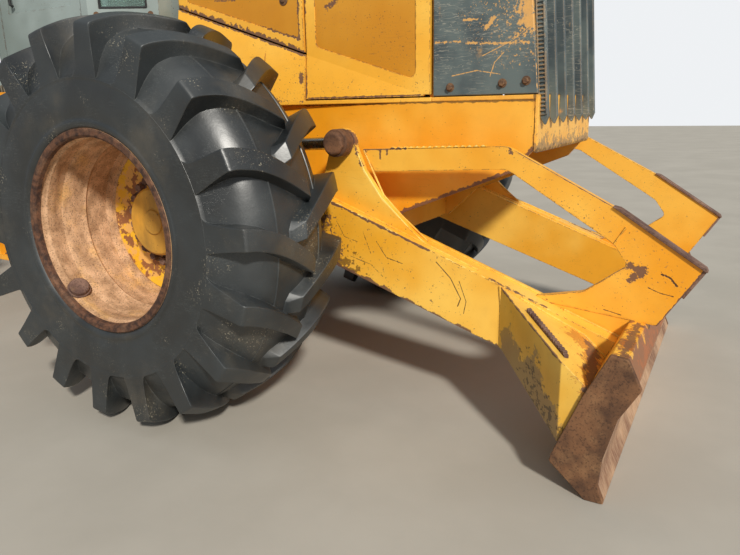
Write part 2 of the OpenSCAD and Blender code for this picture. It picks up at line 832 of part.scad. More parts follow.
// A door along a stretch of X, cut to the outline in X and Z, with its hinge eyes
module engine_door(span) {
  difference() {
    union() {
      intersection() {
        translate([span[0], 0, 0]) rotate([90, 0, 90]) linear_extrude(span[1] - span[0]) door_section();
        side_slab(-700, 0) children();
      }
      for (x = eye_places(span)) translate([x, 0, 0]) {
        translate([1, -hinge_y, hinge_z]) rotate([0, 90, 0]) cylinder(r = hinge_eye_r, h = hinge_len - 2);
        block([1, -hinge_y - 24, hood_top_z - 20], [hinge_len - 1, -hinge_y, hood_top_z]);
      }
    }
    // Notches for the fixed knuckles, and the bores of the eyes
    for (x = eye_places(span), k = [x - knuckle_len - 6, x + hinge_len - 0.5])
      block([k, -hinge_y - hinge_eye_r - 6, hinge_z - 30],
        [k + knuckle_len + 6.5, -hinge_y + 30, hinge_z + 30]);
    for (x = eye_places(span)) translate([x - 1, -hinge_y, hinge_z]) rotate([0, 90, 0])
      cylinder(r = hinge_pin_r + run, h = hinge_len + 2);
  }
}

// The front door reaches down to the ledge and flares out with it
module front_door(left) {
  span = door_spans[0];
  color(yellow) on_side(left) {
    difference() {
      engine_door(span) polygon([
        [span[0], crease_z(span[0])], [span[0], hood_top_z + 20], [span[1], hood_top_z + 20],
        [span[1], crease_z(span[1])], [flare_end, crease_z(flare_end)]
      ]);
      pressed_panel(front_panel);
    }
    flared_panel(span[0], flare_end, 6, 0);
  }
}

// The rear door ends at the crease, clear of the tyre as it swings up
module rear_door(left) {
  span = door_spans[1];
  color(yellow) on_side(left) difference() {
    engine_door(span) polygon([
      [span[1], crease_z(span[1]) + 6], [span[1], hood_top_z + 20], [span[0], hood_top_z + 20],
      [span[0], crease_z(span[0]) + 6]
    ]);
    pressed_panel(rear_panel);
  }
}

// Cab

cab_x1 = -cab_front_back;
cab_x0 = cab_x1 - cab_len;
corner_x = cab_x1 - 310;
corner_half = 620;
door_x1 = corner_x - 50;
door_x0 = cab_x0 + 70;

module cab_plan(inset) {
  polygon([
    [cab_x1 - inset, corner_half - inset * 0.6], [corner_x - inset * 0.6, cab_half - inset],
    [cab_x0 + inset, cab_half - inset], [cab_x0 + inset, -cab_half + inset],
    [corner_x - inset * 0.6, -cab_half + inset], [cab_x1 - inset, -corner_half + inset * 0.6]
  ]);
}

cab_wall_top = cab_roof_z - 90;
module cab_shell() {
  color(grey) both_sides() cab_hinge_posts();
  // Mounts on which the cab sits
  color(black) both_sides() for (x = [cab_x0 + 160, cab_x1 - 160])
    translate([x, -500, deck_top]) cylinder(r = 60, h = cab_floor_z - deck_top);
  color(grey) difference() {
    translate([0, 0, cab_floor_z]) linear_extrude(cab_wall_top - cab_floor_z) cab_plan(0);
    translate([0, 0, cab_floor_z + cab_t]) linear_extrude(cab_roof_z) cab_plan(cab_t);
    // Door openings
    block([door_x0, -cab_half - 10, cab_floor_z + cab_t], [door_x1, cab_half + 10, cab_wall_top - 60]);
    // Windshield and rear window openings
    block([cab_x1 - cab_t - 10, -corner_half + 90, hood_top_z + 60],
      [cab_x1 + 10, corner_half - 90, cab_wall_top - 70]);
    block([cab_x0 - 10, -cab_half + 110, sill_z - 140],
      [cab_x0 + cab_t + 10, cab_half - 110, cab_wall_top - 70]);
    both_sides() corner_window_hole();
  }
}

corner_turn = atan2(cab_half - corner_half, cab_x1 - corner_x);
corner_len = norm([cab_x1 - corner_x, cab_half - corner_half]);
module on_corner() {
  translate([cab_x1, -corner_half, 0]) rotate([0, 0, 180 + corner_turn]) children();
}

module corner_window_hole() {
  on_corner() block([60, -cab_t - 20, sill_z], [corner_len - 60, cab_t + 20, cab_wall_top - 70]);
}

module cab_windows() {
  color("lightcyan", 0.5) {
    block([cab_x1 - 30, -corner_half + 90 + seat, hood_top_z + 60 + seat],
      [cab_x1 - 18, corner_half - 90 - seat, cab_wall_top - 70 - seat]);
    block([cab_x0 + 18, -cab_half + 110 + seat, sill_z - 140 + seat],
      [cab_x0 + 30, cab_half - 110 - seat, cab_wall_top - 70 - seat]);
    both_sides() on_corner()
      block([60 + seat, -20, sill_z + seat], [corner_len - 60 - seat, -8, cab_wall_top - 70 - seat]);
  }
}

module cab_roof() {
  color(grey) translate([0, 0, cab_wall_top + seat]) {
    linear_extrude(50) cab_plan(-30);
    translate([0, 0, 49]) linear_extrude(cab_roof_z - cab_wall_top - 49) cab_plan(40);
  }
}

// Cab door hinges: heights, and the axis beside the door's front edge
cab_hinge_z = [cab_floor_z + 300, cab_floor_z + 1200];
cab_hinge_y = cab_half + 16;
cab_eye_r = 14;
cab_pin_r = 7;

module cab_door(left) {
  color(grey) on_side(left) difference() {
    union() {
      difference() {
        block([door_x0 + 6, -cab_half, cab_floor_z + cab_t + 6],
          [door_x1 - 6, -cab_half + 40, cab_wall_top - 66]);
        block([door_x0 + 76, -cab_half - 1, sill_z + 30],
          [door_x1 - 76, -cab_half + 12, cab_wall_top - 140]);
        block([door_x0 + 76, -cab_half + 24, sill_z + 30],
          [door_x1 - 76, -cab_half + 41, cab_wall_top - 140]);
      }
      for (z = cab_hinge_z) {
        translate([door_x1, -cab_hinge_y, z]) cylinder(r = cab_eye_r, h = 60);
        block([door_x1 - 110, -cab_half - 8, z], [door_x1 - 3, -cab_half, z + 60]);
      }
    }
    for (z = cab_hinge_z) translate([door_x1, -cab_hinge_y, z - 1]) cylinder(r = cab_pin_r + run, h = 62);
  }
}

// Fixed halves of the cab door hinges on the front posts
module cab_hinge_posts() {
  for (z = cab_hinge_z) {
    translate([door_x1, -cab_hinge_y, z - 31]) cylinder(r = cab_pin_r, h = 92);
    translate([door_x1, -cab_hinge_y, z - 31]) cylinder(r = cab_eye_r, h = 30);
    block([door_x1 + 1, -cab_hinge_y - 6, z - 31], [door_x1 + 45, -cab_half + 1, z - 1]);
  }
}

module operator_seat() {
  color("#30343a") {
    block([cab_x0 + 260, -220, cab_floor_z + 280], [cab_x0 + 700, 220, cab_floor_z + 400]);
    block([cab_x0 + 200, -210, cab_floor_z + 340], [cab_x0 + 310, 210, cab_floor_z + 980]);
    block([cab_x0 + 330, -160, cab_floor_z + cab_t + seat], [cab_x0 + 620, 160, cab_floor_z + 281]);
  }
}

module cab_console() {
  color(steel) {
    block([cab_x1 - 260, -180, cab_floor_z + cab_t + seat], [cab_x1 - 120, 180, cab_floor_z + 640]);
    translate([cab_x1 - 200, 0, cab_floor_z + 600]) rotate([0, -30, 0]) cylinder(r = 30, h = 200);
    translate([cab_x1 - 300, 0, cab_floor_z + 773]) rotate([0, -30, 0]) cylinder(r = 170, h = 24);
  }
}

lamp_r = 62;
module work_lamps() {
  color(black) for (s = [-1, 1]) {
    translate([cab_x1 - 60, s * 420, cab_roof_z + 2 * seat]) lamp();
    translate([cab_x0 + 60, s * 420, cab_roof_z + 2 * seat]) rotate([0, 0, 180]) lamp();
  }
}

module lamp() {
  block([-20, -12, 0], [20, 12, 30]);
  translate([-30, 0, 80]) rotate([0, 90, 0]) cylinder(r = lamp_r, h = 70);
}

deck_bottom = 1250;
deck_top = cab_floor_z - 20;
// Tanks with steps between the front wheels and the steering pivot
module tank_steps(left) {
  on_side(left) {
    block([-1480, -980, 820], [-985, -600, deck_top]);
    for (z = [560, 700]) block([-1440, -1090, z], [-1010, -900, z + 30]);
    block([-1440, -1090, 560], [-1425, -900, 830]);
    block([-1025, -1090, 560], [-1010, -900, 830]);
    // Deck plate under the cab, which carries the tank
    block([-1480, -610, deck_bottom], [-490, -seat, deck_top]);
  }
}

module fuel_tank_steps() {
  color(yellow) tank_steps(false);
}

module hydraulic_tank_steps() {
  color(yellow) tank_steps(true);
}

// Winch, arch and butt plate on the rear frame

drum_x = -drum_back;
module winch_housing() {
  color(yellow) {
    both_sides() side_slab(-drum_len / 2 - 60, -drum_len / 2 - 30) difference() {
      union() {
        translate([drum_x, drum_z]) circle(r = drum_flange_r - 20);
        rect2([drum_x - 280, rear_top_z + 40], [drum_x + 280, drum_z]);
      }
      translate([drum_x, drum_z]) circle(r = 45);
    }
    block([drum_x - 280, -drum_len / 2 - 60, rear_top_z + 40],
      [drum_x + 280, drum_len / 2 + 60, rear_top_z + 62]);
    block([drum_x + 240, -drum_len / 2 - 60, rear_top_z + 40], [drum_x + 280, drum_len / 2 + 60, drum_z]);
    // Gear case on the left side
    y_rod(200, drum_len / 2 + 60, drum_len / 2 + 150, drum_x, drum_z);
  }
}

module winch_drum() {
  color(steel) {
    y_rod(rope_r, -drum_len / 2 + 6, drum_len / 2 - 6, drum_x, drum_z);
    for (s = [-1, 1]) let(middle = s * (drum_len / 2 - 9))
      y_rod(drum_flange_r - 30, middle - 9, middle + 9, drum_x, drum_z);
    y_rod(45 - run, -drum_len / 2 - 70, drum_len / 2 + 50, drum_x, drum_z);
  }
}

tow_half = 65;
tow_z = 590;
tow_t = 60;
tow_r = 25;
arch_half = rear_half;
arch_foot_x = rear_x - 150;
arch_head_x = rear_x - 760;
module log_arch() {
  color(yellow) {
    both_sides() side_slab(-arch_half - 30, -arch_half) polygon([
      [arch_foot_x + 120, rear_top_z - 80], [arch_foot_x + 60, rear_top_z + 240],
      [arch_head_x + 130, arch_z], [arch_head_x - 130, arch_z], [arch_head_x - 150, arch_z - 330],
      [arch_head_x - 60, rear_top_z + 300], [tail_x, rear_top_z - 80]
    ]);
    block([arch_head_x - 128, -arch_half, arch_z - 60], [arch_head_x + 128, arch_half, arch_z - 20]);
    block([arch_foot_x - 100, -arch_half, rear_top_z + 41], [arch_foot_x - 60, arch_half, rear_top_z + 240]);
    // Cheek plates that hold the fairlead rollers
    for (s = [-1, 1])
      block([arch_head_x - 150, s * 190 - 12, arch_z - 330], [arch_head_x - 20, s * 190 + 12, arch_z - 59]);
    block([arch_head_x - 150, -arch_half, arch_z - 330], [arch_head_x - 20, arch_half, arch_z - 300]);
  }
}

module fairlead_rollers() {
  color(steel) {
    y_rod(48, -178 + seat, 178 - seat, arch_head_x - 85, arch_z - 245);
    y_rod(30, -178 + seat, 178 - seat, arch_head_x - 85, arch_z - 110);
  }
}

module butt_plate() {
  color(yellow) {
    // Tow lug with an upright pin hole behind the plate
    difference() {
      block([tail_x - 118, -tow_half, tow_z], [tail_x - 20, tow_half, tow_z + tow_t]);
      translate([tail_x - 70, 0, tow_z - 1]) cylinder(r = tow_r, h = tow_t + 2);
    }
    side_slab(-780, 780) polygon([
      [tail_x, 560], [tail_x - 30, 540], [tail_x - 60, 760], [tail_x - 80, 1100],
      [tail_x - 120, 1420], [tail_x - 95, 1430], [tail_x - 52, 1110], [tail_x, 1000]
    ]);
  }
}

module rear_fenders() {
  color(yellow) both_sides() {
    block([rear_x + 420, -rear_half - 420, rear_top_z + 20], [throat_x - 300, -rear_half, rear_top_z + 38]);
  }
}

// Assembly

place() front_frame();
place() front_axle();
place() rear_frame();
place() rear_axle();
place() belly_guards();
place() at_wheel(0, false) rim();  // rim_front_right
place() at_wheel(0, true) rim();  // rim_front_left
place() at_wheel(rear_x, false) rim();  // rim_rear_right
place() at_wheel(rear_x, true) rim();  // rim_rear_left
place() at_wheel(0, false) tyre();  // tyre_front_right
place() at_wheel(0, true) tyre();  // tyre_front_left
place() at_wheel(rear_x, false) tyre();  // tyre_rear_right
place() at_wheel(rear_x, true) tyre();  // tyre_rear_left
place() nose();
place() grille();
place() radiator_panels();
place() hood_center();
place() body_ledges();
place() engine_block();
place() exhaust_stack();
place() air_cleaner();
place() front_door(false);  // door_right_front
place() rear_door(false);  // door_right_rear
place() front_door(true);  // door_left_front
place() rear_door(true);  // door_left_rear
place() cab_shell();
place() cab_roof();
place() cab_windows();
place() cab_door(false);  // cab_door_right
place() cab_door(true);  // cab_door_left
place() operator_seat();
place() cab_console();
place() work_lamps();
place() fuel_tank_steps();
place() hydraulic_tank_steps();
place() lift_arm(false);  // lift_arm_right
place() lift_arm(true);  // lift_arm_left
place() brace(false);  // brace_right
place() brace(true);  // brace_left
place() moldboard();
place() wing_gussets();
place() cutting_edge();
place() lift_barrels();
place() lift_rods();
place() steer_barrel(false);  // steer_barrel_right
place() steer_barrel(true);  // steer_barrel_left
place() steer_rod(false);  // steer_rod_right
place() steer_rod(true);  // steer_rod_left
place() winch_housing();
place() winch_drum();
place() log_arch();
place() fairlead_rollers();
place() butt_plate();
place() rear_fenders();
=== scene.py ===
"""Looks of a cable log skidder with a decking blade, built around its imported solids."""
import logging
import math
import random
from collections.abc import Callable, Iterable, Sequence
from dataclasses import dataclass, replace
from enum import Enum

import bmesh
import bpy
from mathutils import Matrix, Vector, noise


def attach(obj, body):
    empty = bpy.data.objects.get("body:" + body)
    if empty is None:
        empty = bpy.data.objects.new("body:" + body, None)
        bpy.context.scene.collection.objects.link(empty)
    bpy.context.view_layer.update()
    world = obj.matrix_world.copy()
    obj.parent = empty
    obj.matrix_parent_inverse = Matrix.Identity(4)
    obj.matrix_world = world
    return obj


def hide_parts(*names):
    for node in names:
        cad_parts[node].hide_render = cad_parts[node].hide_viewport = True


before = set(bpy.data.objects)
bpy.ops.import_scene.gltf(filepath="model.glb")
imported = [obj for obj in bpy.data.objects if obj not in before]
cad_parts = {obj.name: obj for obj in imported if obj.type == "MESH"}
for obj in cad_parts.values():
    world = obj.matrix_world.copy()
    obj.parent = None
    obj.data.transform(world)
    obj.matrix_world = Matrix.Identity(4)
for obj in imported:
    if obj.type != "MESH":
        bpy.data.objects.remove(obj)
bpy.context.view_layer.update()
LOG = logging.getLogger("skidder")
# The pieces are drawn from the middle of the front axle at ground level. The frame's
# own origin lies this far behind it, in metres.
SHIFT = Vector((1.138, 0.0, 0.0))
TAU = 2 * math.pi
NOISE_SEED = 1
Point = tuple[float, float, float]


class Side(Enum):
    """The two sides of the machine, by the sign of Y."""

    RIGHT = -1
    LEFT = 1

    @property
    def tag(self) -> str:
        """The side in the name of a piece."""
        return self.name.lower()


def linear(code: str) -> tuple[float, float, float, float]:
    """Turn an sRGB hex colour into the linear values that shaders take.

    Args:
        code: Six hex digits.

    Returns:
        Linear red, green, blue and an alpha of 1.
    """
    parts = [int(code[i:i + 2], 16) / 255 for i in (0, 2, 4)]
    flat = [c / 12.92 if c <= 0.04045 else ((c + 0.055) / 1.055) ** 2.4 for c in parts]
    return (flat[0], flat[1], flat[2], 1.0)


# ---------------------------------------------------------------- finishes

class Wear(Enum):
    """What a mark at one place shows: its colour, strength and depth in millimetres."""

    BARE = ("6b4c40", 0.92, 0.5)
    PALE = ("ffdf7c", 0.8, 0.15)
    RUST = ("b1622c", 0.62, 0.1)
    # Dry soil; on the wing gussets the same colour also lays painted shade over the shaded side
    # plates
    SOIL = ("8a7355", 0.72, 0.0)
    TAN = ("e2ab62", 0.9, 0.1)
    # Oil stains; on the frame's side the same colour lays a painted shadow line under the doors
    OIL = ("3a2b20", 0.7, 0.0)
    GOUGE = ("402b21", 0.95, 0.6)
    IRON = ("8a5639", 0.95, 0.2)


@dataclass(frozen=True)
class Mark:
    """Wear along a line on the machine, ragged by a grain of its own size."""

    wear: Wear
    width_mm: float
    path: tuple[Point, ...]
    grain_mm: float = 16.0
    ragged: float = 1.0
    cover: float = 1.0

    def on(self, side: Side) -> "Mark":
        """Carry the mark to a side; marks are written for the right one.

        Args:
            side: Side of the machine.

        Returns:
            The mark on that side.
        """
        if side is Side.RIGHT:
            return self
        return replace(self, path=tuple((x, -y, z) for x, y, z in self.path))


def marks_at(y: float, *rows: tuple) -> tuple[Mark, ...]:
    """Write marks as rows, most of whose corners lie on one upright plate.

    Args:
        y: Place of the plate's face.
        rows: For each mark its wear, its width, its corners in turn, and what it gives of
            grain, raggedness and cover. A corner is X and Z on the plate, or X, Y and Z.

    Returns:
        The marks in the same order.
    """
    return tuple(Mark(wear, width, tuple((c[0], y, c[1]) if len(c) == 2 else c for c in path),
                      *rest) for wear, width, path, *rest in rows)


def add_node(tree: bpy.types.NodeTree, kind: str, inputs: dict | None = None, out: int | str = 0,
             **settings: object) -> bpy.types.NodeSocket | None:
    """Add a node with its settings, values and links.

    Args:
        tree: Tree that it is added to.
        kind: Node type without its ShaderNode prefix.
        inputs: Socket name or number to a value or to the socket that feeds it.
        out: Name or number of the output to return.
        **settings: Attributes of the node.

    Returns:
        The output socket asked for, or None from a node that ends the tree.
    """
    node = tree.nodes.new("ShaderNode" + kind)
    for key, value in settings.items():
        setattr(node, key, value)
    for key, value in (inputs or {}).items():
        if isinstance(value, bpy.types.NodeSocket):
            tree.links.new(value, node.inputs[key])
        else:
            node.inputs[key].default_value = value
    return node.outputs[out] if node.outputs else None


class Graph:
    """The shader tree of one material while it grows."""

    def __init__(self, name: str) -> None:
        """Start an empty tree with object coordinates, which lie in the frame's metres.

        Args:
            name: Name of the material.
        """
        self.material = bpy.data.materials.new(name)
        self.material.use_nodes = True
        self.tree = self.material.node_tree
        self.tree.nodes.clear()
        self.here = self.add("TexCoord", out="Object")

    def add(self, kind: str, inputs: dict | None = None, out: int | str = 0,
            **settings: object) -> bpy.types.NodeSocket:
        """Add a node to this tree, as add_node does."""
        return add_node(self.tree, kind, inputs, out, **settings)

    def patches(self, size_mm: float, low: float, high: float, detail: float = 4.0,
                stretch: Point = (1, 1, 1), shift: float = 0.0) -> bpy.types.NodeSocket:
        """Mask of irregular patches.

        Args:
            size_mm: Usual distance between patches.
            low: Noise value where a patch begins.
            high: Noise value where it is full.
            detail: Octaves of finer shape.
            stretch: How often the pattern repeats along each axis, against the rest.
            shift: Offset that gives another pattern of the same kind.

        Returns:
            Mask from 0 to 1.
        """
        spot = self.add("Mapping", {"Vector": self.here, "Location": (shift,) * 3,
                                    "Scale": stretch})
        value = self.add("TexNoise", {"Vector": spot, "Scale": 1000 / size_mm, "Detail": detail,
                                      "Roughness": 0.6})
        return self.add("MapRange", {"Value": value, "From Min": low, "From Max": high},
                        interpolation_type="SMOOTHSTEP")

    def scratches(self, length_mm: float, width: float, turn: Point, shift: float = 0.0
                  ) -> bpy.types.NodeSocket:
        """Mask of thin drawn-out lines.

        Args:
            length_mm: Usual length of a scratch.
            width: Width of a line as a share of the noise's range.
            turn: Rotation of the pattern in radians.
            shift: Offset that gives another pattern of the same kind.

        Returns:
            Mask from 0 to 1.
        """
        spot = self.add("Mapping", {"Vector": self.here, "Rotation": turn, "Location": (shift,) * 3,
                                    "Scale": (1.0, 6.0, 9.0)})
        value = self.add("TexNoise", {"Vector": spot, "Scale": 1000 / length_mm, "Detail": 2.0})
        off = self.add("Math", {0: value, 1: 0.5}, operation="SUBTRACT")
        off = self.add("Math", {0: off}, operation="ABSOLUTE")
        return self.add("MapRange", {"Value": off, "From Min": 0.0, "From Max": width,
                                     "To Min": 1.0, "To Max": 0.0})

    def edges(self, width_mm: float, low: float = 0.02, high: float = 0.2) -> bpy.types.NodeSocket:
        """Mask of the zone along a piece's edges, where wear starts.

        Args:
            width_mm: How far the zone reaches from the edge.
            low: Bend of the rounded normal where the zone begins.
            high: Bend where it is full.

        Returns:
            Mask from 0 to 1.
        """
        soft = self.add("Bevel", {"Radius": width_mm / 1000}, samples=6)
        flat = self.add("NewGeometry", out="Normal")
        dot = self.add("VectorMath", {0: soft, 1: flat}, out="Value", operation="DOT_PRODUCT")
        bend = self.add("Math", {0: 1.0, 1: dot}, operation="SUBTRACT")
        return self.add("MapRange", {"Value": bend, "From Min": low, "From Max": high},
                        interpolation_type="SMOOTHSTEP")

    def along(self, path: Sequence[Point], width_mm: float) -> bpy.types.NodeSocket:
        """Closeness to a line through places on the machine.

        Args:
            path: Corner points of the line.
            width_mm: Distance from the line at which the value falls to 0.

        Returns:
            Value from 0 to 1, which is 1 on the line.
        """
        nearest = None
        for a, b in zip(path, path[1:]):
            start, way = Vector(a) + SHIFT, Vector(b) - Vector(a)
            off = self.add("VectorMath", {0: self.here, 1: start}, operation="SUBTRACT")
            share = self.add("VectorMath", {0: off, 1: way / way.length_squared}, out="Value",
                             operation="DOT_PRODUCT")
            foot = self.add("VectorMath", {0: way, "Scale": self.add("Clamp", {"Value": share})},
                            operation="SCALE")
            gap = self.add("VectorMath", {0: off, 1: foot}, out="Value", operation="DISTANCE")
            nearest = gap if nearest is None else self.add("Math", {0: nearest, 1: gap},
                                                           operation="MINIMUM")
        return self.add("MapRange", {"Value": nearest, "From Max": width_mm / 1000, "To Min": 1.0,
                                     "To Max": 0.0})

    def coats(self, tone: bpy.types.NodeSocket | tuple[float, ...],
              *layers: tuple[bpy.types.NodeSocket, str]) -> bpy.types.NodeSocket:
        """Lay colours over a tone.

        Args:
            tone: Colour under them.
            layers: Mask and hex colour of each, from the lowest up.

        Returns:
            The colour that shows.
        """
        for mask, code in layers:
            tone = self.add("Mix", {0: mask, 6: tone, 7: linear(code)}, out=2, data_type="RGBA")
        return tone

    def weather(self, tone: bpy.types.NodeSocket, marks: Sequence[Mark]
                ) -> tuple[bpy.types.NodeSocket, list[tuple[bpy.types.NodeSocket, float]]]:
        """Lay marks over a tone.

        Args:
            tone: Colour under the marks.
            marks: What to lay, in order.

        Returns:
            The colour with the marks, and the heights that they cut.
        """
        bumps = []
        for i, mark in enumerate(marks):
            code, strength, depth = mark.wear.value
            near = self.product(self.along(mark.path, mark.width_mm), mark.cover)
            # Each mark looks at another part of the noise, so that no two are alike
            spot = self.add("Mapping", {"Vector": self.here, "Location": (i * 1.3, 0.0, i * 0.7)})
            grain = self.add("TexNoise", {"Vector": spot, "Scale": 1000 / mark.grain_mm,
                                          "Detail": 5.0, "Roughness": 0.65})
            swing = 0.5 * mark.ragged
            grain = self.add("MapRange", {"Value": grain, "From Min": 0.3, "From Max": 0.7,
                                          "To Min": -swing, "To Max": swing})
            torn = self.add("Math", {0: near, 1: grain}, operation="ADD")
            mask = self.add("MapRange", {"Value": torn, "From Min": 0.42, "From Max": 0.56},
                            interpolation_type="SMOOTHSTEP")
            inside = self.add("Math", {0: near, 1: 0.001}, operation="GREATER_THAN")
            mask = self.product(mask, inside)
            tone = self.coats(tone, (self.product(mask, strength), code))
            if depth:
                bumps.append((self.product(mask, -1.0), depth))
        return tone, bumps

    def product(self, *masks: bpy.types.NodeSocket | float) -> bpy.types.NodeSocket:
        """Multiply masks together.

        Args:
            masks: Masks and strengths.

        Returns:
            Their product.
        """
        value = masks[0]
        for other in masks[1:]:
            value = self.add("Math", {0: value, 1: other}, operation="MULTIPLY")
        return value

    def either(self, *masks: bpy.types.NodeSocket) -> bpy.types.NodeSocket:
        """Lay masks over each other.

        Args:
            masks: Masks of the same place.

        Returns:
            The largest of them at each place.
        """
        value = masks[0]
        for other in masks[1:]:
            value = self.add("Math", {0: value, 1: other}, operation="MAXIMUM")
        return value

    def finish(self, shader: dict, bumps: Sequence[tuple[bpy.types.NodeSocket, float]] = (),
               round_mm: float = 0.0) -> bpy.types.Material:
        """Close the tree with a surface shader.

        Args:
            shader: Inputs of the surface shader.
            bumps: Height masks with the depth of each in millimetres.
            round_mm: Radius that edges are rounded with in the light.

        Returns:
            The finished material.
        """
        normal = self.add("Bevel", {"Radius": round_mm / 1000}, samples=4) if round_mm else None
        for height, depth_mm in bumps:
            inputs = {"Height": height, "Distance": depth_mm / 1000, "Strength": 1.0}
            if normal is not None:
                inputs["Normal"] = normal
            normal = self.add("Bump", inputs)
        if normal is not None:
            shader["Normal"] = normal
        surface = self.add("BsdfPrincipled", shader)
        self.add("OutputMaterial", {"Surface": surface})
        return self.material


class Finish:
    """A finish that makes its material once."""

    name: str

    def build(self, graph: Graph) -> bpy.types.Material:
        """Grow the shader tree in an empty graph and return its material."""
        raise NotImplementedError

    def material(self) -> bpy.types.Material:
        """The finish's material, made at the first call."""
        return bpy.data.materials.get(self.name) or self.build(Graph(self.name))


@dataclass(frozen=True)
class AlkydEnamel(Finish):
    """Alkyd enamel sprayed on hot-rolled plate, sun-bleached, with rust at chips and edges."""

    name: str
    fresh: str = "f0a01c"
    faded: str = "fbbd48"
    bare: str = "5a3d30"
    stain: str = "a8672a"
    grime: str = "5f4a2c"
    wear: float = 1.0
    film: float = 0.0
    roughness: float = 0.4
    marks: tuple[Mark, ...] = ()

    def build(self, graph: Graph) -> bpy.types.Material:
        """Fade, stains and chips over one coat; the chips are duller and lie lower.

        Args:
            graph: Empty shader tree.

        Returns:
            The finished material.
        """
        fade = graph.patches(620, 0.36, 0.66, 3)
        mottle = graph.product(graph.patches(60, 0.4, 0.8, 6), 0.1)
        film = graph.product(graph.patches(240, 0.3, 0.75, 8, (1, 1, 0.4), 3.1), self.film)
        bleed = graph.product(graph.edges(26, 0.004, 0.2),
                              graph.patches(70, 0.45, 0.72, 6, shift=1.7), 0.5 * self.wear)
        chips = graph.product(graph.edges(9), graph.patches(22, 0.48, 0.54, 5), self.wear)
        spots = graph.product(graph.patches(10, 0.68, 0.71, 2),
                              graph.patches(210, 0.44, 0.6, 3, shift=5.0), min(1.0, self.wear))
        lines = graph.product(graph.scratches(220, 0.004, (0.3, 0.5, 0.2)),
                              graph.patches(330, 0.56, 0.66, 3, shift=9.0), 0.6 * self.wear)
        bare = graph.either(chips, spots, lines)
        tone = graph.coats(linear(self.fresh), (fade, self.faded), (mottle, self.stain),
                           (film, self.grime), (bleed, self.stain), (bare, self.bare))
        tone, cuts = graph.weather(tone, self.marks)
        rough = graph.add("MapRange", {"Value": bare, "To Min": self.roughness, "To Max": 0.85})
        orange_peel = graph.patches(6, 0.2, 0.8, 1)
        return graph.finish({"Base Color": tone, "Roughness": rough, "IOR": 1.5},
                            [(orange_peel, 0.05), (graph.product(bare, -1.0), 0.4), *cuts], 3.0)


@dataclass(frozen=True)
class RustedPlate(Finish):
    """Hot-rolled steel left bare: a dull, grainy film of iron oxide in several browns."""

    name: str
    dark: str = "4a3022"
    light: str = "8a5a38"
    bloom: str = "b07038"
    amount: float = 0.5
    roughness: float = 0.82
    size_mm: float = 90.0
    grain: Point = (1.0, 1.0, 1.0)
    pit: str = "2c1c14"
    rubbed: str = "9a7f68"

    def build(self, graph: Graph) -> bpy.types.Material:
        """Clouds of two browns with an orange bloom, fine pits and rubbed edges.

        Args:
            graph: Empty shader tree.

        Returns:
            The finished material.
        """
        cloud = graph.patches(self.size_mm, 0.32, 0.68, 8, self.grain)
        bloom = graph.product(graph.patches(130, 0.5, 0.72, 8, self.grain, 4.0), self.amount)
        pits = graph.patches(7, 0.52, 0.64, 4)
        rub = graph.product(graph.edges(6, 0.05, 0.3), graph.patches(40, 0.4, 0.6, 5), 0.7)
        tone = graph.coats(linear(self.dark), (cloud, self.light), (bloom, self.bloom),
                           (graph.product(pits, 0.5), self.pit), (rub, self.rubbed))
        scale = graph.patches(14, 0.3, 0.7, 6)
        return graph.finish({"Base Color": tone, "Roughness": self.roughness},
                            [(scale, 0.5), (graph.product(pits, -1.0), 0.4)], 3.0)


@dataclass(frozen=True)
class ScouredSteel(Finish):
    """Carbon steel scoured by soil: pinkish-brown, half bright, brushed down the blade."""

    name: str
    dull: str = "7d5540"
    bright: str = "c39c7a"
    glint: str = "e0c0a0"

    def build(self, graph: Graph) -> bpy.types.Material:
        """Long vertical scores between dull and bright steel.

        Args:
            graph: Empty shader tree.

        Returns:
            The finished material.
        """
        score = graph.patches(24, 0.35, 0.65, 6, (1.0, 2.2, 0.18))
        broad = graph.patches(240, 0.36, 0.66, 4, shift=2.0)
        tone = graph.coats(linear(self.dull), (broad, self.bright),
                           (graph.product(score, 0.35), self.glint))
        rough = graph.add("MapRange", {"Value": graph.product(score, broad), "To Min": 0.62,
                                       "To Max": 0.42})
        waves = graph.patches(60, 0.3, 0.7, 5)
        return graph.finish({"Base Color": tone, "Roughness": rough, "Metallic": 0.25},
                            [(score, 0.35), (waves, 1.0)], 4.0)


@dataclass(frozen=True)
class TyreRubber(Finish):
    """Vulcanised natural rubber with carbon black: blue-black, polished by soil, dusty low down."""

    name: str
    base: str = "111517"
    worn: str = "242a2d"
    dust: str = "6f6452"
    scuff: str = "6a6f6d"
    soil: str = "a09782"
    burnish: str = "878a88"
    dusting: float = 0.38

    def build(self, graph: Graph) -> bpy.types.Material:
        """Rubbed zones, speckles of dry soil, burnished edges, fine cuts and a soft sheen.

        Args:
            graph: Empty shader tree.

        Returns:
            The finished material.
        """
        rub = graph.patches(420, 0.36, 0.66, 3)
        film = graph.product(graph.patches(330, 0.5, 0.8, 7, shift=6.0), self.dusting)
        scuffs = graph.product(graph.scratches(46, 0.02, (0.3, 0.6, 0.3)),
                               graph.patches(120, 0.45, 0.62, 4, shift=4.0), 0.35)
        specks = graph.product(graph.patches(7, 0.6, 0.7, 2),
                               graph.patches(210, 0.54, 0.66, 3, shift=8.0), 0.9)
        tips = graph.product(graph.edges(7, 0.05, 0.3), graph.patches(60, 0.38, 0.62, 6), 0.3)
        tone = graph.coats(linear(self.base), (rub, self.worn), (film, self.dust),
                           (scuffs, self.scuff), (specks, self.soil), (tips, self.burnish))
        cuts = graph.product(graph.scratches(120, 0.006, (0.2, 0.9, 0.4)),
                             graph.patches(160, 0.52, 0.66, 3), -1.0)
        grain, dents = graph.patches(5, 0.3, 0.7, 3), graph.patches(90, 0.3, 0.7, 3)
        rough = graph.add("MapRange", {"Value": rub, "To Min": 0.4, "To Max": 0.56})
        return graph.finish({"Base Color": tone, "Roughness": rough, "IOR": 1.52,
                             "Specular IOR Level": 1.0}, [(grain, 0.06), (cuts, 0.4), (dents, 0.5)])


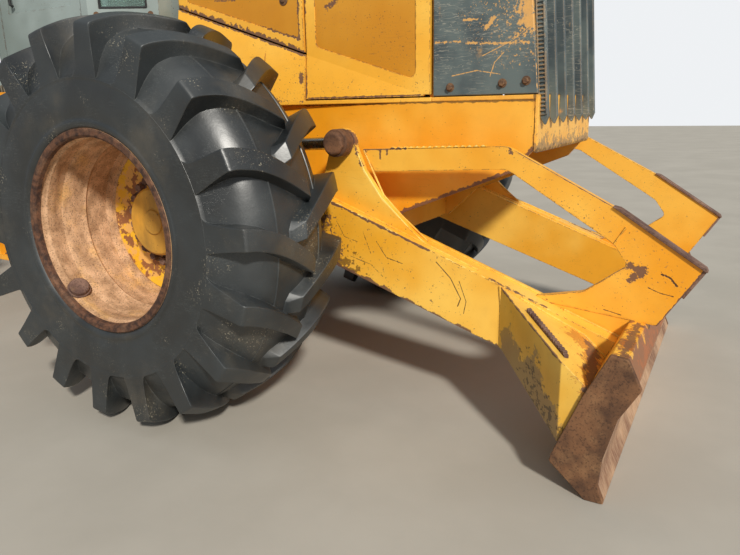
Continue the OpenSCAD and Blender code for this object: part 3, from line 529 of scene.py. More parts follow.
@dataclass(frozen=True)
class DarkEnamel(Finish):
    """Slate-grey enamel on sheet steel, brushed by branches down to tan primer and rust."""

    name: str
    base: str = "475155"
    faded: str = "636e6d"
    primer: str = "b08a5a"
    scratch: str = "b9b4a4"
    wear: float = 1.0
    marks: tuple[Mark, ...] = ()

    def build(self, graph: Graph) -> bpy.types.Material:
        """Many thin scratches of three directions in clusters, and tan worn edges.

        Args:
            graph: Empty shader tree.

        Returns:
            The finished material.
        """
        fade = graph.patches(300, 0.4, 0.62, 4)
        lines = graph.either(graph.scratches(180, 0.008, (0.1, 0.5, 0.0)),
                             graph.scratches(140, 0.007, (0.5, -0.4, 0.2), 3.0),
                             graph.scratches(260, 0.004, (0.0, 0.1, 0.1), 6.0))
        lines = graph.product(lines, graph.patches(260, 0.4, 0.58, 3, shift=7.0), 0.7 * self.wear)
        spots = graph.product(graph.patches(70, 0.66, 0.74, 8, (1, 1, 0.5), 2.0), 0.7 * self.wear)
        rims = graph.product(graph.edges(9), graph.patches(60, 0.36, 0.5, 5), 0.75 * self.wear)
        rubbed = graph.either(spots, rims)
        tone = graph.coats(linear(self.base), (fade, self.faded), (lines, self.scratch),
                           (rubbed, self.primer))
        tone, cuts = graph.weather(tone, self.marks)
        rough = graph.add("MapRange", {"Value": rubbed, "To Min": 0.45, "To Max": 0.8})
        grain = graph.patches(8, 0.3, 0.7, 2)
        return graph.finish({"Base Color": tone, "Roughness": rough, "IOR": 1.5},
                            [(grain, 0.08), (graph.product(lines, -1.0), 0.2), *cuts], 2.0)


@dataclass(frozen=True)
class PlainFinish(Finish):
    """A small part's even material, with only fine grain and light handling marks."""

    name: str
    base: str
    other: str
    size_mm: float = 40.0
    roughness: float = 0.5
    metallic: float = 0.0
    grain_mm: float = 4.0
    depth_mm: float = 0.1

    def build(self, graph: Graph) -> bpy.types.Material:
        """Two close tones in soft patches, and a fine grain.

        Args:
            graph: Empty shader tree.

        Returns:
            The finished material.
        """
        cloud = graph.patches(self.size_mm, 0.35, 0.7, 6)
        tone = graph.coats(linear(self.base), (cloud, self.other))
        rough = graph.add("MapRange", {"Value": cloud, "To Min": self.roughness,
                                       "To Max": min(1.0, self.roughness + 0.15)})
        grain = graph.patches(self.grain_mm, 0.3, 0.7, 2)
        return graph.finish({"Base Color": tone, "Roughness": rough, "Metallic": self.metallic},
                            [(grain, self.depth_mm)], 1.5)


@dataclass(frozen=True)
class ClearSheet(Finish):
    """Polycarbonate window sheet, hazed by dust and sun, so it shows a pale green tint."""

    name: str
    tint: str = "cbeade"

    def build(self, graph: Graph) -> bpy.types.Material:
        """Thin tinted transmission, with haze in clouds as roughness.

        Args:
            graph: Empty shader tree.

        Returns:
            The finished material.
        """
        haze = graph.patches(300, 0.3, 0.7, 3)
        rough = graph.add("MapRange", {"Value": haze, "To Min": 0.06, "To Max": 0.14})
        return graph.finish({"Base Color": linear(self.tint), "Roughness": rough, "IOR": 1.45,
                             "Transmission Weight": 0.85, "Alpha": 0.72})


# Enamel of the machine's body, bleached by sun and chipped by branches
YELLOW = AlkydEnamel("alkyd_enamel_yellow")
# The same enamel where it is nearly hidden under soil and oil; on the wheel hubs its darkness is
# also painted shade
YELLOW_GRIME_AND_SHADE = AlkydEnamel("alkyd_enamel_grimy", wear=1.3, film=0.8, roughness=0.6)
# Last scales of enamel on a rusted wheel disc: yellow islands between tan and brown
YELLOW_REMNANT = AlkydEnamel(
    "alkyd_enamel_remnant", fresh="e8ac20", faded="f4c43a", wear=0.4, marks=marks_at(0.0, *(
        (wear, 900, ((x, y, 0.895), (x, y, 0.9)), grain, ragged, cover)
        for wear, grain, ragged, cover in ((Wear.TAN, 70, 1.6, 0.8), (Wear.IRON, 60, 1.4, 0.55))
        for x in (0.0, -3.4) for y in (-1.1, 1.1))))
# Ochre enamel of the doors' pressed panels, duller than their frames
YELLOW_PANEL = AlkydEnamel(
    "alkyd_enamel_panel", fresh="cf8a1c", faded="dc9c30", wear=0.7, marks=marks_at(-0.51,
    (Wear.GOUGE, 5, ((0.854, 1.772), (0.876, 1.723), (0.907, 1.657)), 9, 0.5),
    (Wear.BARE, 20, ((0.545, 1.846), (0.592, 1.866)), 14, 1.4),
    (Wear.BARE, 9, ((-0.14, 1.936), (-0.006, 1.927)), 14, 0.6),
    (Wear.BARE, 10, ((0.384, 1.99), (0.384, 1.717), (0.15, 1.792)), 16, 1.2),
    (Wear.BARE, 120, ((0.6, 1.78), (0.95, 1.6)), 7, 1.1, 0.08)))
# Enamel of the rear engine doors, bleached pale and rubbed brown along the crease
REAR_DOOR = AlkydEnamel(
    "alkyd_enamel_rear_door", fresh="f8b43a", faded="ffcb58", marks=marks_at(-0.51,
    (Wear.BARE, 30, ((-0.4, 1.925), (0.0, 1.79), (0.41, 1.648)), 30, 1.25),
    (Wear.BARE, 12, ((0.384, 1.99), (0.384, 1.717), (0.2, 1.776)), 22, 1.3)))
# The same on the front doors, chipped along their lower edge
FRONT_DOOR = AlkydEnamel(
    "alkyd_enamel_front_door", fresh="f8b438", faded="ffcb58", marks=marks_at(-0.51,
    (Wear.BARE, 9, ((0.426, 1.99), (0.426, -0.52, 1.65), (0.428, -0.53, 1.44)), 18, 1.2),
    (Wear.BARE, 90, ((0.43, -0.53, 1.46), (0.7, -0.52, 1.45), (1.04, 1.44)), 9, 1.1, 0.14),
    (Wear.BARE, 7, ((0.44, -0.534, 1.436), (1.04, 1.436)), 22, 0.9)))
# The same on the flared panels, with a rust run and a chipped seam
FLARE = AlkydEnamel("alkyd_enamel_flare", fresh="f9b63a", faded="ffcc5a", marks=marks_at(-0.53,
    (Wear.RUST, 10, ((0.185, -0.52, 1.72), (0.178, 1.61)), 18, 0.6),
    (Wear.BARE, 26, ((0.396, 1.55), (0.396, 1.52)), 10, 0.5),
    (Wear.BARE, 170, ((0.1, -0.55, 1.45), (0.41, -0.535, 1.45), (0.41, -0.52, 1.6)), 9, 1.1,
     0.15),
    (Wear.BARE, 22, ((-0.4, -0.56, 1.425), (0.42, -0.54, 1.425)), 22, 1.2, 0.6),
    (Wear.BARE, 12, ((-0.4, -0.51, 1.918), (0.415, -0.51, 1.64)), 24, 1.2)))
# Enamel of the nose, bleached, with soil and oil round its lower edge
NOSE = AlkydEnamel("alkyd_enamel_nose", faded="fcc25c", marks=marks_at(-0.51,
    (Wear.SOIL, 120, ((1.5, 1.175), (1.585, -0.5, 1.18), (1.585, 0.5, 1.18), (1.5, 0.51, 1.175)),
     30, 1.1, 0.9),
    (Wear.OIL, 50, ((1.53, 1.18), (1.585, -0.5, 1.18), (1.585, 0.5, 1.18)), 30, 1.2, 0.9),
    (Wear.OIL, 9, ((1.556, 1.2), (1.556, 1.44)), 20, 0.8)))
# Enamel of the frame's side plates, chipped along the flange, with a painted shadow line under the
# doors
FRAME_SIDE = AlkydEnamel("alkyd_enamel_frame", marks=marks_at(-0.51,
    (Wear.BARE, 22, ((0.33, 0.74), (0.76, 0.735), (0.939, 0.898), (1.475, 1.108), (1.556, 1.2)),
     30, 0.8),
    # Painted shadow: a dark line just under the doors' lower edge, where their overhang shades the
    # frame
    (Wear.OIL, 12, ((0.4, 1.404), (1.556, 1.404)), 26, 0.8),
    (Wear.SOIL, 180, ((-0.4, 0.65), (0.3, 0.8), (0.76, 0.8)), 60, 1.2)))


def both(name: str, marks: Sequence[Mark], **settings: object) -> dict[Side, AlkydEnamel]:
    """One yellow enamel for each side of the machine, with the marks laid on that side."""
    return {side: AlkydEnamel(f"{name}_{side.tag}", **settings,
                              marks=tuple(mark.on(side) for mark in marks)) for side in Side}


# Enamel of the lift arms, scored by logs and dark with oil near the pivot
ARM = both("alkyd_enamel_lift_arm", fresh="f2ac2c", faded="ffca58", marks=marks_at(-0.75,
    (Wear.OIL, 130, ((0.6, 0.9), (0.66, 0.74), (0.8, 0.61)), 34, 1.2, 0.7),
    (Wear.BARE, 90, ((0.62, 0.92), (0.7, 0.7)), 20, 1.35, 0.6),
    (Wear.GOUGE, 2, ((0.72, 0.88), (0.76, 0.81), (0.83, 0.79)), 9, 1.5),
    (Wear.GOUGE, 2, ((0.86, 0.84), (0.9, 0.74)), 8, 1.5),
    (Wear.GOUGE, 2, ((0.79, 0.72), (0.9, 0.69), (0.96, 0.64)), 10, 1.6),
    (Wear.BARE, 260, ((0.7, 0.8), (1.2, 0.56)), 12, 1.1, 0.1),
    (Wear.BARE, 16, ((0.7, 0.966), (1.186, 0.785)), 40, 0.7),
    (Wear.PALE, 15, ((0.7, -0.745, 0.978), (1.2, -0.745, 0.79), (1.72, -0.745, 0.594)), 26, 1.0),
    (Wear.BARE, 20, ((1.46, -0.735, 0.69), (1.7, -0.735, 0.6)), 26, 1.0),
    (Wear.BARE, 28, ((0.6, 0.71), (1.1, 0.528), (1.53, 0.372)), 46, 0.9),
    (Wear.GOUGE, 4, ((1.224, 0.734), (1.291, 0.669), (1.339, 0.583), (1.326, 0.548)), 12, 0.4),
    (Wear.GOUGE, 3, ((1.331, 0.66), (1.364, 0.573), (1.354, 0.519)), 10, 0.6),
    (Wear.GOUGE, 3, ((0.93, 0.8), (0.98, 0.73), (1.06, 0.71)), 10, 0.9),
    (Wear.BARE, 62, ((0.69, -0.704, 1.24), (0.8, -0.704, 1.25)), 30, 0.8),
    (Wear.BARE, 26, ((0.795, -0.704, 1.27), (0.84, -0.704, 1.14)), 22, 1.1),
    (Wear.PALE, 11, ((0.815, -0.704, 1.2), (0.848, -0.704, 1.111), (0.934, -0.704, 0.992),
     (1.01, -0.704, 0.923), (1.173, -0.704, 0.785)), 26, 0.5)))
# Enamel of the braces, chipped at their edges and where the logs strike
BRACE = both("alkyd_enamel_brace", marks_at(-0.672,
    (Wear.PALE, 9, ((0.96, 1.214), (1.41, 1.228)), 30, 0.4),
    (Wear.BARE, 9, ((0.84, 1.205), (0.832, 1.14)), 14, 1.1),
    (Wear.BARE, 8, ((0.915, 1.207), (0.912, 1.165)), 14, 1.1),
    (Wear.BARE, 10, ((0.952, 1.207), (0.946, 1.183)), 14, 1.1),
    (Wear.BARE, 9, ((0.82, 1.204), (1.04, 1.21)), 16, 1.0),
    (Wear.BARE, 13, ((1.508, 1.22), (1.515, 1.196)), 12, 1.2),
    (Wear.BARE, 5, ((1.53, 1.208), (1.93, 0.998)), 30, 1.0),
    (Wear.OIL, 4, ((1.932, 0.862), (1.972, 0.92)), 20, 0.2),
    (Wear.BARE, 120, ((1.62, 1.06), (1.86, 0.93)), 10, 1.1, 0.13),
    (Wear.BARE, 170, ((1.98, 0.84), (2.1, 0.76)), 10, 1.1, 0.12),
    (Wear.BARE, 34, ((1.993, 0.777), (2.047, 0.769), (2.014, 0.733)), 20, 1.2),
    (Wear.GOUGE, 7, ((2.112, 0.757), (2.142, 0.747), (2.167, 0.718)), 12, 0.9),
    (Wear.GOUGE, 3, ((2.07, 0.7), (2.11, 0.684), (2.158, 0.676)), 12, 0.8),
    (Wear.GOUGE, 3, ((1.914, 0.592), (1.98, 0.578)), 12, 0.9),
    (Wear.BARE, 9, ((2.251, 0.78), (2.112, 0.552)), 24, 0.8)))
# Enamel of the wing gussets, half under dry soil that also darkens the shaded side plates as
# painted shade, rusted behind the blade
WING = AlkydEnamel(
    "alkyd_enamel_wing", fresh="e8a828", faded="f6c658", wear=1.1, film=0.2, marks=tuple(
    mark.on(side) for side in Side for mark in marks_at(-1.04,
        (Wear.BARE, 13, ((1.512, -0.75, 0.66), (1.6, -0.836, 0.617), (1.85, -1.08, 0.505)), 30,
         0.8),
        (Wear.RUST, 90, ((1.84, -0.78, 0.52), (1.93, -0.85, 0.45), (1.95, 0.42)), 30, 1.2),
        (Wear.BARE, 60, ((1.9, -0.78, 0.47), (1.96, -1.05, 0.41)), 40, 1.1),
        # Broad darkening of the shaded outer plate: partly dry soil, partly painted shade
        (Wear.SOIL, 240, ((1.6, -0.84, 0.42), (1.74, -0.97, 0.28), (1.82, -1.05, 0.18)), 150, 1.0,
         0.9),
        (Wear.OIL, 120, ((1.7, -0.95, 0.38), (1.8, 0.24)), 30, 1.3, 0.5),
        (Wear.GOUGE, 4, ((1.66, -0.9, 0.42), (1.72, -0.965, 0.33), (1.8, 0.3)), 10, 0.9),
        (Wear.GOUGE, 3, ((1.7, -0.93, 0.45), (1.74, -0.98, 0.28), (1.78, -1.02, 0.22)), 10, 0.9),
        (Wear.GOUGE, 3, ((1.62, -0.86, 0.5), (1.7, -0.94, 0.48), (1.78, -1.02, 0.42)), 10, 0.9))))
# Enamel of the blade's plate, scoured to iron in front
MOLDBOARD = AlkydEnamel("alkyd_enamel_moldboard", wear=1.4, film=0.3, marks=marks_at(-1.09,
    (Wear.IRON, 200, ((2.11, 0.47), (2.11, 1.09, 0.47)), 90, 0.8, 1.0),
    (Wear.RUST, 180, ((2.11, 0.48), (2.11, 1.09, 0.48)), 50, 1.4, 0.5),
    (Wear.BARE, 26, ((2.05, 0.556), (2.05, -0.7, 0.556)), 30, 1.3)))
# Enamel of the plate that logs are dragged against, scoured to iron in its middle
BUTT = AlkydEnamel("alkyd_enamel_butt_plate", wear=1.4, film=0.35, marks=marks_at(-0.6,
    (Wear.IRON, 520, ((-4.5, 1.08), (-4.5, 0.6, 1.08)), 260, 0.7, 0.95),
    (Wear.RUST, 700, ((-4.5, 1.08), (-4.5, 0.6, 1.08)), 120, 1.3, 0.5),
    (Wear.BARE, 560, ((-4.5, -0.8, 1.0), (-4.5, 0.8, 1.0)), 16, 1.1, 0.16)))
# Blue-grey enamel of the cab, chalky with age
GREY = AlkydEnamel("alkyd_enamel_grey", fresh="78837f", faded="98a4a2", stain="6f6a60", wear=0.9,
                   roughness=0.55)
# Slate enamel of the grille, faded, with pale branch scratches
SLATE = DarkEnamel("slate_enamel", wear=1.4)
# The same on the radiator's side, torn down to tan primer
RADIATOR_SIDE = DarkEnamel("slate_enamel_side", marks=marks_at(-0.51,
    (Wear.TAN, 46, ((1.505, 1.76), (1.53, 1.7)), 16, 1.3),
    (Wear.TAN, 40, ((1.5, 1.83), (1.52, 1.78)), 20, 1.3),
    (Wear.TAN, 16, ((1.48, 1.705), (1.535, 1.73)), 10, 1.3),
    (Wear.TAN, 17, ((1.37, 1.735), (1.34, 1.7)), 10, 1.2),
    (Wear.TAN, 8, ((1.24, 1.737), (1.3, 1.735)), 12, 1.0),
    (Wear.TAN, 8, ((1.111, 1.653), (1.2, 1.654), (1.3, 1.639), (1.52, 1.629)), 16, 1.8, 0.75),
    (Wear.TAN, 160, ((1.5, 1.9), (1.52, 1.66)), 12, 1.3, 0.35),
    (Wear.TAN, 200, ((1.4, 1.72), (1.54, 1.78)), 9, 1.2, 0.18),
    (Wear.TAN, 6, ((1.545, 1.72), (1.565, 1.45)), 22, 1.0),
    (Wear.TAN, 3, ((1.323, 1.587), (1.45, 1.64), (1.532, 1.699)), 9, 1.0),
    (Wear.TAN, 3, ((1.361, 1.505), (1.38, 1.56), (1.419, 1.598)), 9, 1.1),
    (Wear.TAN, 3, ((1.188, 1.512), (1.3, 1.53), (1.404, 1.511)), 9, 1.2)))
# Mill plate under an even rust film, matt orange brown
RUST = RustedPlate("hot_rolled_rust")
# The same with oil in it, nearly black in the pits
RUST_DARK = RustedPlate("hot_rolled_rust_dark", dark="3f2a20", light="80583c", bloom="9a6238",
                        amount=0.3)
# Lip of the rims, dark rust mottled by stones
RUST_LIP = RustedPlate("rusted_rim_lip", dark="32201a", light="6f4a34", bloom="9a7458", amount=0.4,
                       size_mm=30)
# Flame-cut and rubbed edges, a greyer mauve brown
RUST_EDGE = RustedPlate("flame_cut_edge", dark="5a4038", light="8c6c5c", bloom="b0895f",
                        amount=0.35)
# End plates of the blade, scuffed warm brown with pale edges
RUST_PLATE = RustedPlate("scuffed_end_plate", dark="4f3524", light="7d5638", bloom="97704c",
                         amount=0.6, size_mm=120, rubbed="b9a18c")
# Barrel of the rims, tan dust over rust
RUST_TAN = RustedPlate("rusted_rim_barrel", dark="a88260", light="dcb18a", bloom="ecb66c",
                       amount=0.6, grain=(0.8, 1.1, 0.8), size_mm=60)
# Face of the blade and its edge, half bright and brushed downward
SCOURED = ScouredSteel("scoured_carbon_steel")
# Forestry tyres, blue-black with a soft sheen where they rub
RUBBER = TyreRubber("vulcanised_tyre_rubber")
# Hard chrome on the cylinder rods, bright under an oil film
CHROME = PlainFinish("hard_chrome", "b8b8b4", "8f8c86", 30, 0.18, 1.0, 3, 0.01)
# Wire rope of the winch, greased and dull
ROPE = PlainFinish("greased_wire_rope", "5a5348", "857b6c", 12, 0.5, 0.5, 5, 0.5)
# Black nitrile hose and seals
HOSE = PlainFinish("nitrile_rubber", "1c1d1e", "2a2b2c", 60, 0.6, 0.0, 4, 0.05)
# Zinc-plated bolts gone brown
BOLT = PlainFinish("rusted_zinc_bolt", "5d4433", "8c6a4c", 14, 0.7, 0.3, 4, 0.3)
# Vinyl over foam of the seat
VINYL = PlainFinish("seat_vinyl", "202224", "303336", 50, 0.5, 0.0, 3, 0.15)
# Painted grey iron of the engine and controls, matt and slightly oily
CAST = PlainFinish("cast_iron_painted", "3a3d3d", "55544e", 80, 0.6, 0.2, 5, 0.3)
# Cab windows, which let the inside show through a pale green haze
WINDOW = ClearSheet("polycarbonate_sheet")
# Pressed glass of the lamp lenses, ribbed and slightly grey
LENS = PlainFinish("pressed_lens_glass", "cfd6d6", "b7bfc0", 20, 0.15, 0.0, 6, 0.2)
# Floor under the machine, pale and even so that the shadow reads
CONCRETE = PlainFinish("trowelled_concrete", "aea89d", "b6b0a5", 900, 0.85, 0.0, 8, 0.05)


# ---------------------------------------------------------------- shapes

class Shape:
    """Points and faces that grow into one piece, in metres from the front axle."""

    def __init__(self) -> None:
        """Start empty."""
        self.points: list[Vector] = []
        self.faces: list[tuple[int, ...]] = []

    def join(self, points: Iterable[Sequence[float]], faces: Iterable[Sequence[int]]) -> "Shape":
        """Add points and the faces between them.

        Args:
            points: Places of the points.
            faces: Numbers of the points round each face.

        Returns:
            The shape itself.
        """
        start = len(self.points)
        self.points += [Vector(p) for p in points]
        self.faces += [tuple(start + i for i in face) for face in faces]
        return self

    def grid(self, rows: Sequence[Sequence[Sequence[float]]], around: bool = False,
             caps: bool = False) -> "Shape":
        """Add a sheet of quads through rows of points.

        Args:
            rows: Rows with the same number of points.
            around: Whether each row closes on itself.
            caps: Whether the first and last rows are closed by a face.

        Returns:
            The shape itself.
        """
        wide = len(rows[0])
        faces = []
        for i in range(len(rows) - 1):
            for k in range(wide if around else wide - 1):
                a, b = i * wide + k, i * wide + (k + 1) % wide
                faces.append((a, b, b + wide, a + wide))
        if caps:
            last = (len(rows) - 1) * wide
            faces += [tuple(range(wide))[::-1], tuple(range(last, last + wide))]
        return self.join([p for row in rows for p in row], faces)

    def prism(self, outline: Sequence[tuple[float, float]], low: float, high: float) -> "Shape":
        """Add an outline of X and Z pulled straight along Y, from low to high."""
        return self.grid([[(x, y, z) for x, z in outline] for y in (low, high)],
                         around=True, caps=True)

    def block(self, low: Sequence[float], high: Sequence[float]) -> "Shape":
        """Add a box between two corners."""
        return self.prism([(low[0], low[2]), (high[0], low[2]), (high[0], high[2]),
                           (low[0], high[2])], low[1], high[1])

    def bar(self, a: Vector, b: Vector, across: Vector, low: float, high: float) -> "Shape":
        """Add a bar from a to b, across to both sides of them and from low to high above."""
        return self.grid([[spot + Vector((0, 0, z)) for spot in
                           (a - across, a + across, b + across, b - across)] for z in (low, high)],
                         around=True, caps=True)

    def revolve(self, profile: Sequence[tuple[float, float]], centre: Sequence[float],
                axis: Sequence[float], steps: int = 24) -> "Shape":
        """Add a body of rotation.

        Args:
            profile: Pairs of distance along the axis and radius.
            centre: Point on the axis where the distance is 0.
            axis: Direction of the axis.
            steps: Facets around.

        Returns:
            The shape itself.
        """
        w = Vector(axis).normalized()
        u = w.orthogonal().normalized()
        v = w.cross(u)
        spokes = [u * math.cos(TAU * i / steps) + v * math.sin(TAU * i / steps)
                  for i in range(steps)]
        return self.grid([[Vector(centre) + w * along + spoke * radius for spoke in spokes]
                          for along, radius in profile], around=True, caps=True)

    def tube(self, path: Sequence[Sequence[float]], radius: float | Callable[[float], float],
             sides: int = 10) -> "Shape":
        """Add a round tube along a path.

        Args:
            path: Points of its middle line.
            radius: Its radius, or what works it out from 0 to 1 along the path.
            sides: Facets around.

        Returns:
            The shape itself.
        """
        line = [Vector(p) for p in path]
        rows = []
        side = None
        for i, here in enumerate(line):
            ahead = (line[min(i + 1, len(line) - 1)] - line[max(i - 1, 0)]).normalized()
            side = ahead.orthogonal() if side is None else side - ahead * side.dot(ahead)
            side.normalize()
            up = ahead.cross(side)
            r = radius(i / (len(line) - 1)) if callable(radius) else radius
            rows.append([here + (side * math.cos(a) + up * math.sin(a)) * r
                         for a in (TAU * k / sides for k in range(sides))])
        return self.grid(rows, around=True, caps=True)

    def weld(self, path: Sequence[Sequence[float]], size: float = 0.008, seed: int = 1) -> "Shape":
        """Add a weld bead along a path: a small tube with the ripples of each pass.

        Args:
            path: Corner points of the joint line.
            size: Radius of the bead.
            seed: Seed of its unevenness.

        Returns:
            The shape itself.
        """
        rng = random.Random(seed)
        line: list[Vector] = []
        for a, b in zip(path, path[1:]):
            a, b = Vector(a), Vector(b)
            count = max(2, int((b - a).length / (size * 0.9)))
            line += [a.lerp(b, i / count) for i in range(count)]
        line.append(Vector(path[-1]))
        sizes = [size * (0.86 + 0.14 * (i % 2) + rng.uniform(-0.06, 0.06))
                 for i in range(len(line))]
        return self.tube(line, lambda t: sizes[round(t * (len(line) - 1))], 7)

    def bolt(self, place: Sequence[float], axis: Sequence[float], across: float = 0.024,
             height: float = 0.012) -> "Shape":
        """Add a hex bolt head on its washer.

        Args:
            place: Middle of the washer's foot.
            axis: Direction in which the head stands out.
            across: Width of the head across its flats.
            height: Height of the head.

        Returns:
            The shape itself.
        """
        w = Vector(axis).normalized()
        self.revolve([(0, across * 0.8), (0.003, across * 0.8), (0.0032, across * 0.5)],
                     place, w, 18)
        base = Vector(place) + w * 0.003
        return self.revolve([(0, across * 0.577), (height * 0.8, across * 0.577),
                             (height, across * 0.48)], base, w, 6)

    def mirrored(self) -> "Shape":
        """Carry the shape to the other side of the machine.

        Returns:
            The mirror image.
        """
        other = Shape()
        other.points = [Vector((p.x, -p.y, p.z)) for p in self.points]
        other.faces = [face[::-1] for face in self.faces]
        return other

    def on(self, side: Side) -> "Shape":
        """The shape itself on the right, or its mirror image on the left."""
        return self if side is Side.RIGHT else self.mirrored()

    def rough(self, size_mm: float, depth_mm: float) -> "Shape":
        """Move each point a little by a smooth noise, as on worn or cast metal.

        Args:
            size_mm: Distance between the swells.
            depth_mm: How far a point moves at most.

        Returns:
            The shape itself.
        """
        for p in self.points:
            p += noise.noise_vector(p * (1000 / size_mm)) * (depth_mm / 1000)
        return self


def piece(name: str, shape: Shape, finish: Finish, body: str, bevel: float = 0.0,
          replaces: Sequence[str] = (), sharp: float = 35.0) -> bpy.types.Object:
    """Make an object of a shape, dressed and riding on its body.

    Args:
        name: Name of the piece.
        shape: Its points and faces.
        finish: What its surface is.
        body: CAD body that carries it.
        bevel: Width of its rounded edges in metres.
        replaces: CAD nodes that it stands for.
        sharp: Angle in degrees over which an edge stays sharp.

    Returns:
        The new object.
    """
    mesh = bpy.data.meshes.new(name)
    mesh.from_pydata([p + SHIFT for p in shape.points], [], shape.faces)
    work = bmesh.new()
    work.from_mesh(mesh)
    bmesh.ops.remove_doubles(work, verts=work.verts, dist=1e-5)
    bmesh.ops.recalc_face_normals(work, faces=work.faces)
    for face in work.faces:
        face.smooth = True
    for edge in work.edges:
        edge.smooth = len(edge.link_faces) == 2 and edge.calc_face_angle(0) < math.radians(sharp)
    work.to_mesh(mesh)
    work.free()
    mesh.materials.append(finish.material())
    thing = bpy.data.objects.new(name, mesh)
    bpy.context.scene.collection.objects.link(thing)
    if bevel:
        soften(thing, bevel)
    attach(thing, body)
    if replaces:
        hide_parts(*replaces)
    return thing


def soften(thing: bpy.types.Object, width: float) -> None:
    """Round an object's edges as a cut and dressed plate has them.

    Args:
        thing: Object to change.
        width: Width of the rounding in metres.
    """
    bevel = thing.modifiers.new("rounded_edges", "BEVEL")
    bevel.width, bevel.segments, bevel.limit_method = width, 2, "ANGLE"
    bevel.angle_limit = math.radians(38)
    bevel.use_clamp_overlap = True
    normals = thing.modifiers.new("even_shading", "WEIGHTED_NORMAL")
    normals.keep_sharp = True


def dress(node: str, finish: Finish, bevel: float = 0.0) -> None:
    """Give a CAD node that stays its finish, and rounded edges if asked.

    Args:
        node: Name of the node.
        finish: What its surface is.
        bevel: Width of its rounded edges in metres.
    """
    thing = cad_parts[node]
    thing.data.materials.clear()
    thing.data.materials.append(finish.material())
    if bevel:
        merge = thing.modifiers.new("merged_points", "WELD")
        merge.merge_threshold = 1e-5
        soften(thing, bevel)


# ---------------------------------------------------------------- stage

@dataclass(frozen=True)
class Stage:
    """Camera, light and floor."""

    place: Point = (2.3285, -3.2554, 1.3841)
    yaw: float = 29.817
    pitch: float = -14.679
    roll: float = -1.177
    lens: float = 31.475
    sun_from: Point = (0.60, -0.60, 0.56)
    sun_degrees: float = 5.0
    sun_power: float = 3.5
    sun_colour: Point = (1.0, 0.96, 0.88)
    sky: Point = (0.88, 0.94, 1.0)
    sky_power: float = 0.42
    backdrop: Point = (0.86, 0.88, 0.9)
    floor_reach: float = 40.0

    def camera(self) -> None:
        """Stand the camera where the photograph was taken."""
        yaw, pitch, roll = (math.radians(a) for a in (self.yaw, self.pitch, self.roll))
        ahead = Vector((-math.sin(yaw) * math.cos(pitch), math.cos(yaw) * math.cos(pitch),
                        math.sin(pitch)))
        level = Vector((math.cos(yaw), math.sin(yaw), 0.0))
        above = level.cross(ahead)
        right = level * math.cos(roll) + above * math.sin(roll)
        up = above * math.cos(roll) - level * math.sin(roll)
        lens = bpy.data.cameras.new("view")
        lens.lens, lens.sensor_width, lens.clip_end = self.lens, 36.0, 100.0
        thing = bpy.data.objects.new("view", lens)
        thing.matrix_world = Matrix.Translation(Vector(self.place) + SHIFT) @ Matrix(
            (right, up, -ahead)).transposed().to_4x4()
        bpy.context.scene.collection.objects.link(thing)
        bpy.context.scene.camera = thing

    def light(self) -> None:
        """One broad key light from the photograph's sun side, and an even pale surround."""
        bpy.context.scene.view_settings.view_transform = "Standard"
        sun = bpy.data.lights.new("key", "SUN")
        sun.energy, sun.angle = self.sun_power, math.radians(self.sun_degrees)
        sun.color = self.sun_colour
        lamp = bpy.data.objects.new("key", sun)
        lamp.rotation_euler = Vector(self.sun_from).to_track_quat("Z", "Y").to_euler()
        bpy.context.scene.collection.objects.link(lamp)
        world = bpy.data.worlds.new("surround")
        bpy.context.scene.world = world
        world.use_nodes = True
        tree = world.node_tree
        tree.nodes.clear()
        light = add_node(tree, "Background", {"Color": (*self.sky, 1), "Strength": self.sky_power})
        seen = add_node(tree, "Background", {"Color": (*self.backdrop, 1), "Strength": 1.0})
        to_camera = add_node(tree, "LightPath", out="Is Camera Ray")
        mix = add_node(tree, "MixShader", {0: to_camera, 1: light, 2: seen})
        add_node(tree, "OutputWorld", {"Surface": mix})

    def floor(self) -> None:
        """Lay a plain pale floor under the tyres."""
        mesh = bpy.data.meshes.new("floor")
        reach = self.floor_reach
        mesh.from_pydata([(-reach, -reach, 0), (reach, -reach, 0), (reach, reach, 0),
                          (-reach, reach, 0)], [], [(0, 1, 2, 3)])
        mesh.materials.append(CONCRETE.material())
        thing = bpy.data.objects.new("floor", mesh)
        bpy.context.scene.collection.objects.link(thing)


# ---------------------------------------------------------------- wheels

def smooth_rows(rows: Sequence[Sequence[float]], steps: int) -> list[list[float]]:
    """Draw a smooth curve through rows of numbers.

    Args:
        rows: Rows to pass through.
        steps: Rows made from each stretch.

    Returns:
        The finer rows, ends included.
    """
    fine = []
    last = len(rows) - 1
    for i in range(last):
        p = [rows[max(0, min(last, i + k))] for k in (-1, 0, 1, 2)]
        for s in range(steps):
            t = s / steps
            fine.append([0.5 * (2 * b + (c - a) * t + (2 * a - 5 * b + 4 * c - d) * t * t
                                + (3 * b - a - 3 * c + d) * t ** 3) for a, b, c, d in zip(*p)])
    fine.append(list(rows[last]))
    return fine


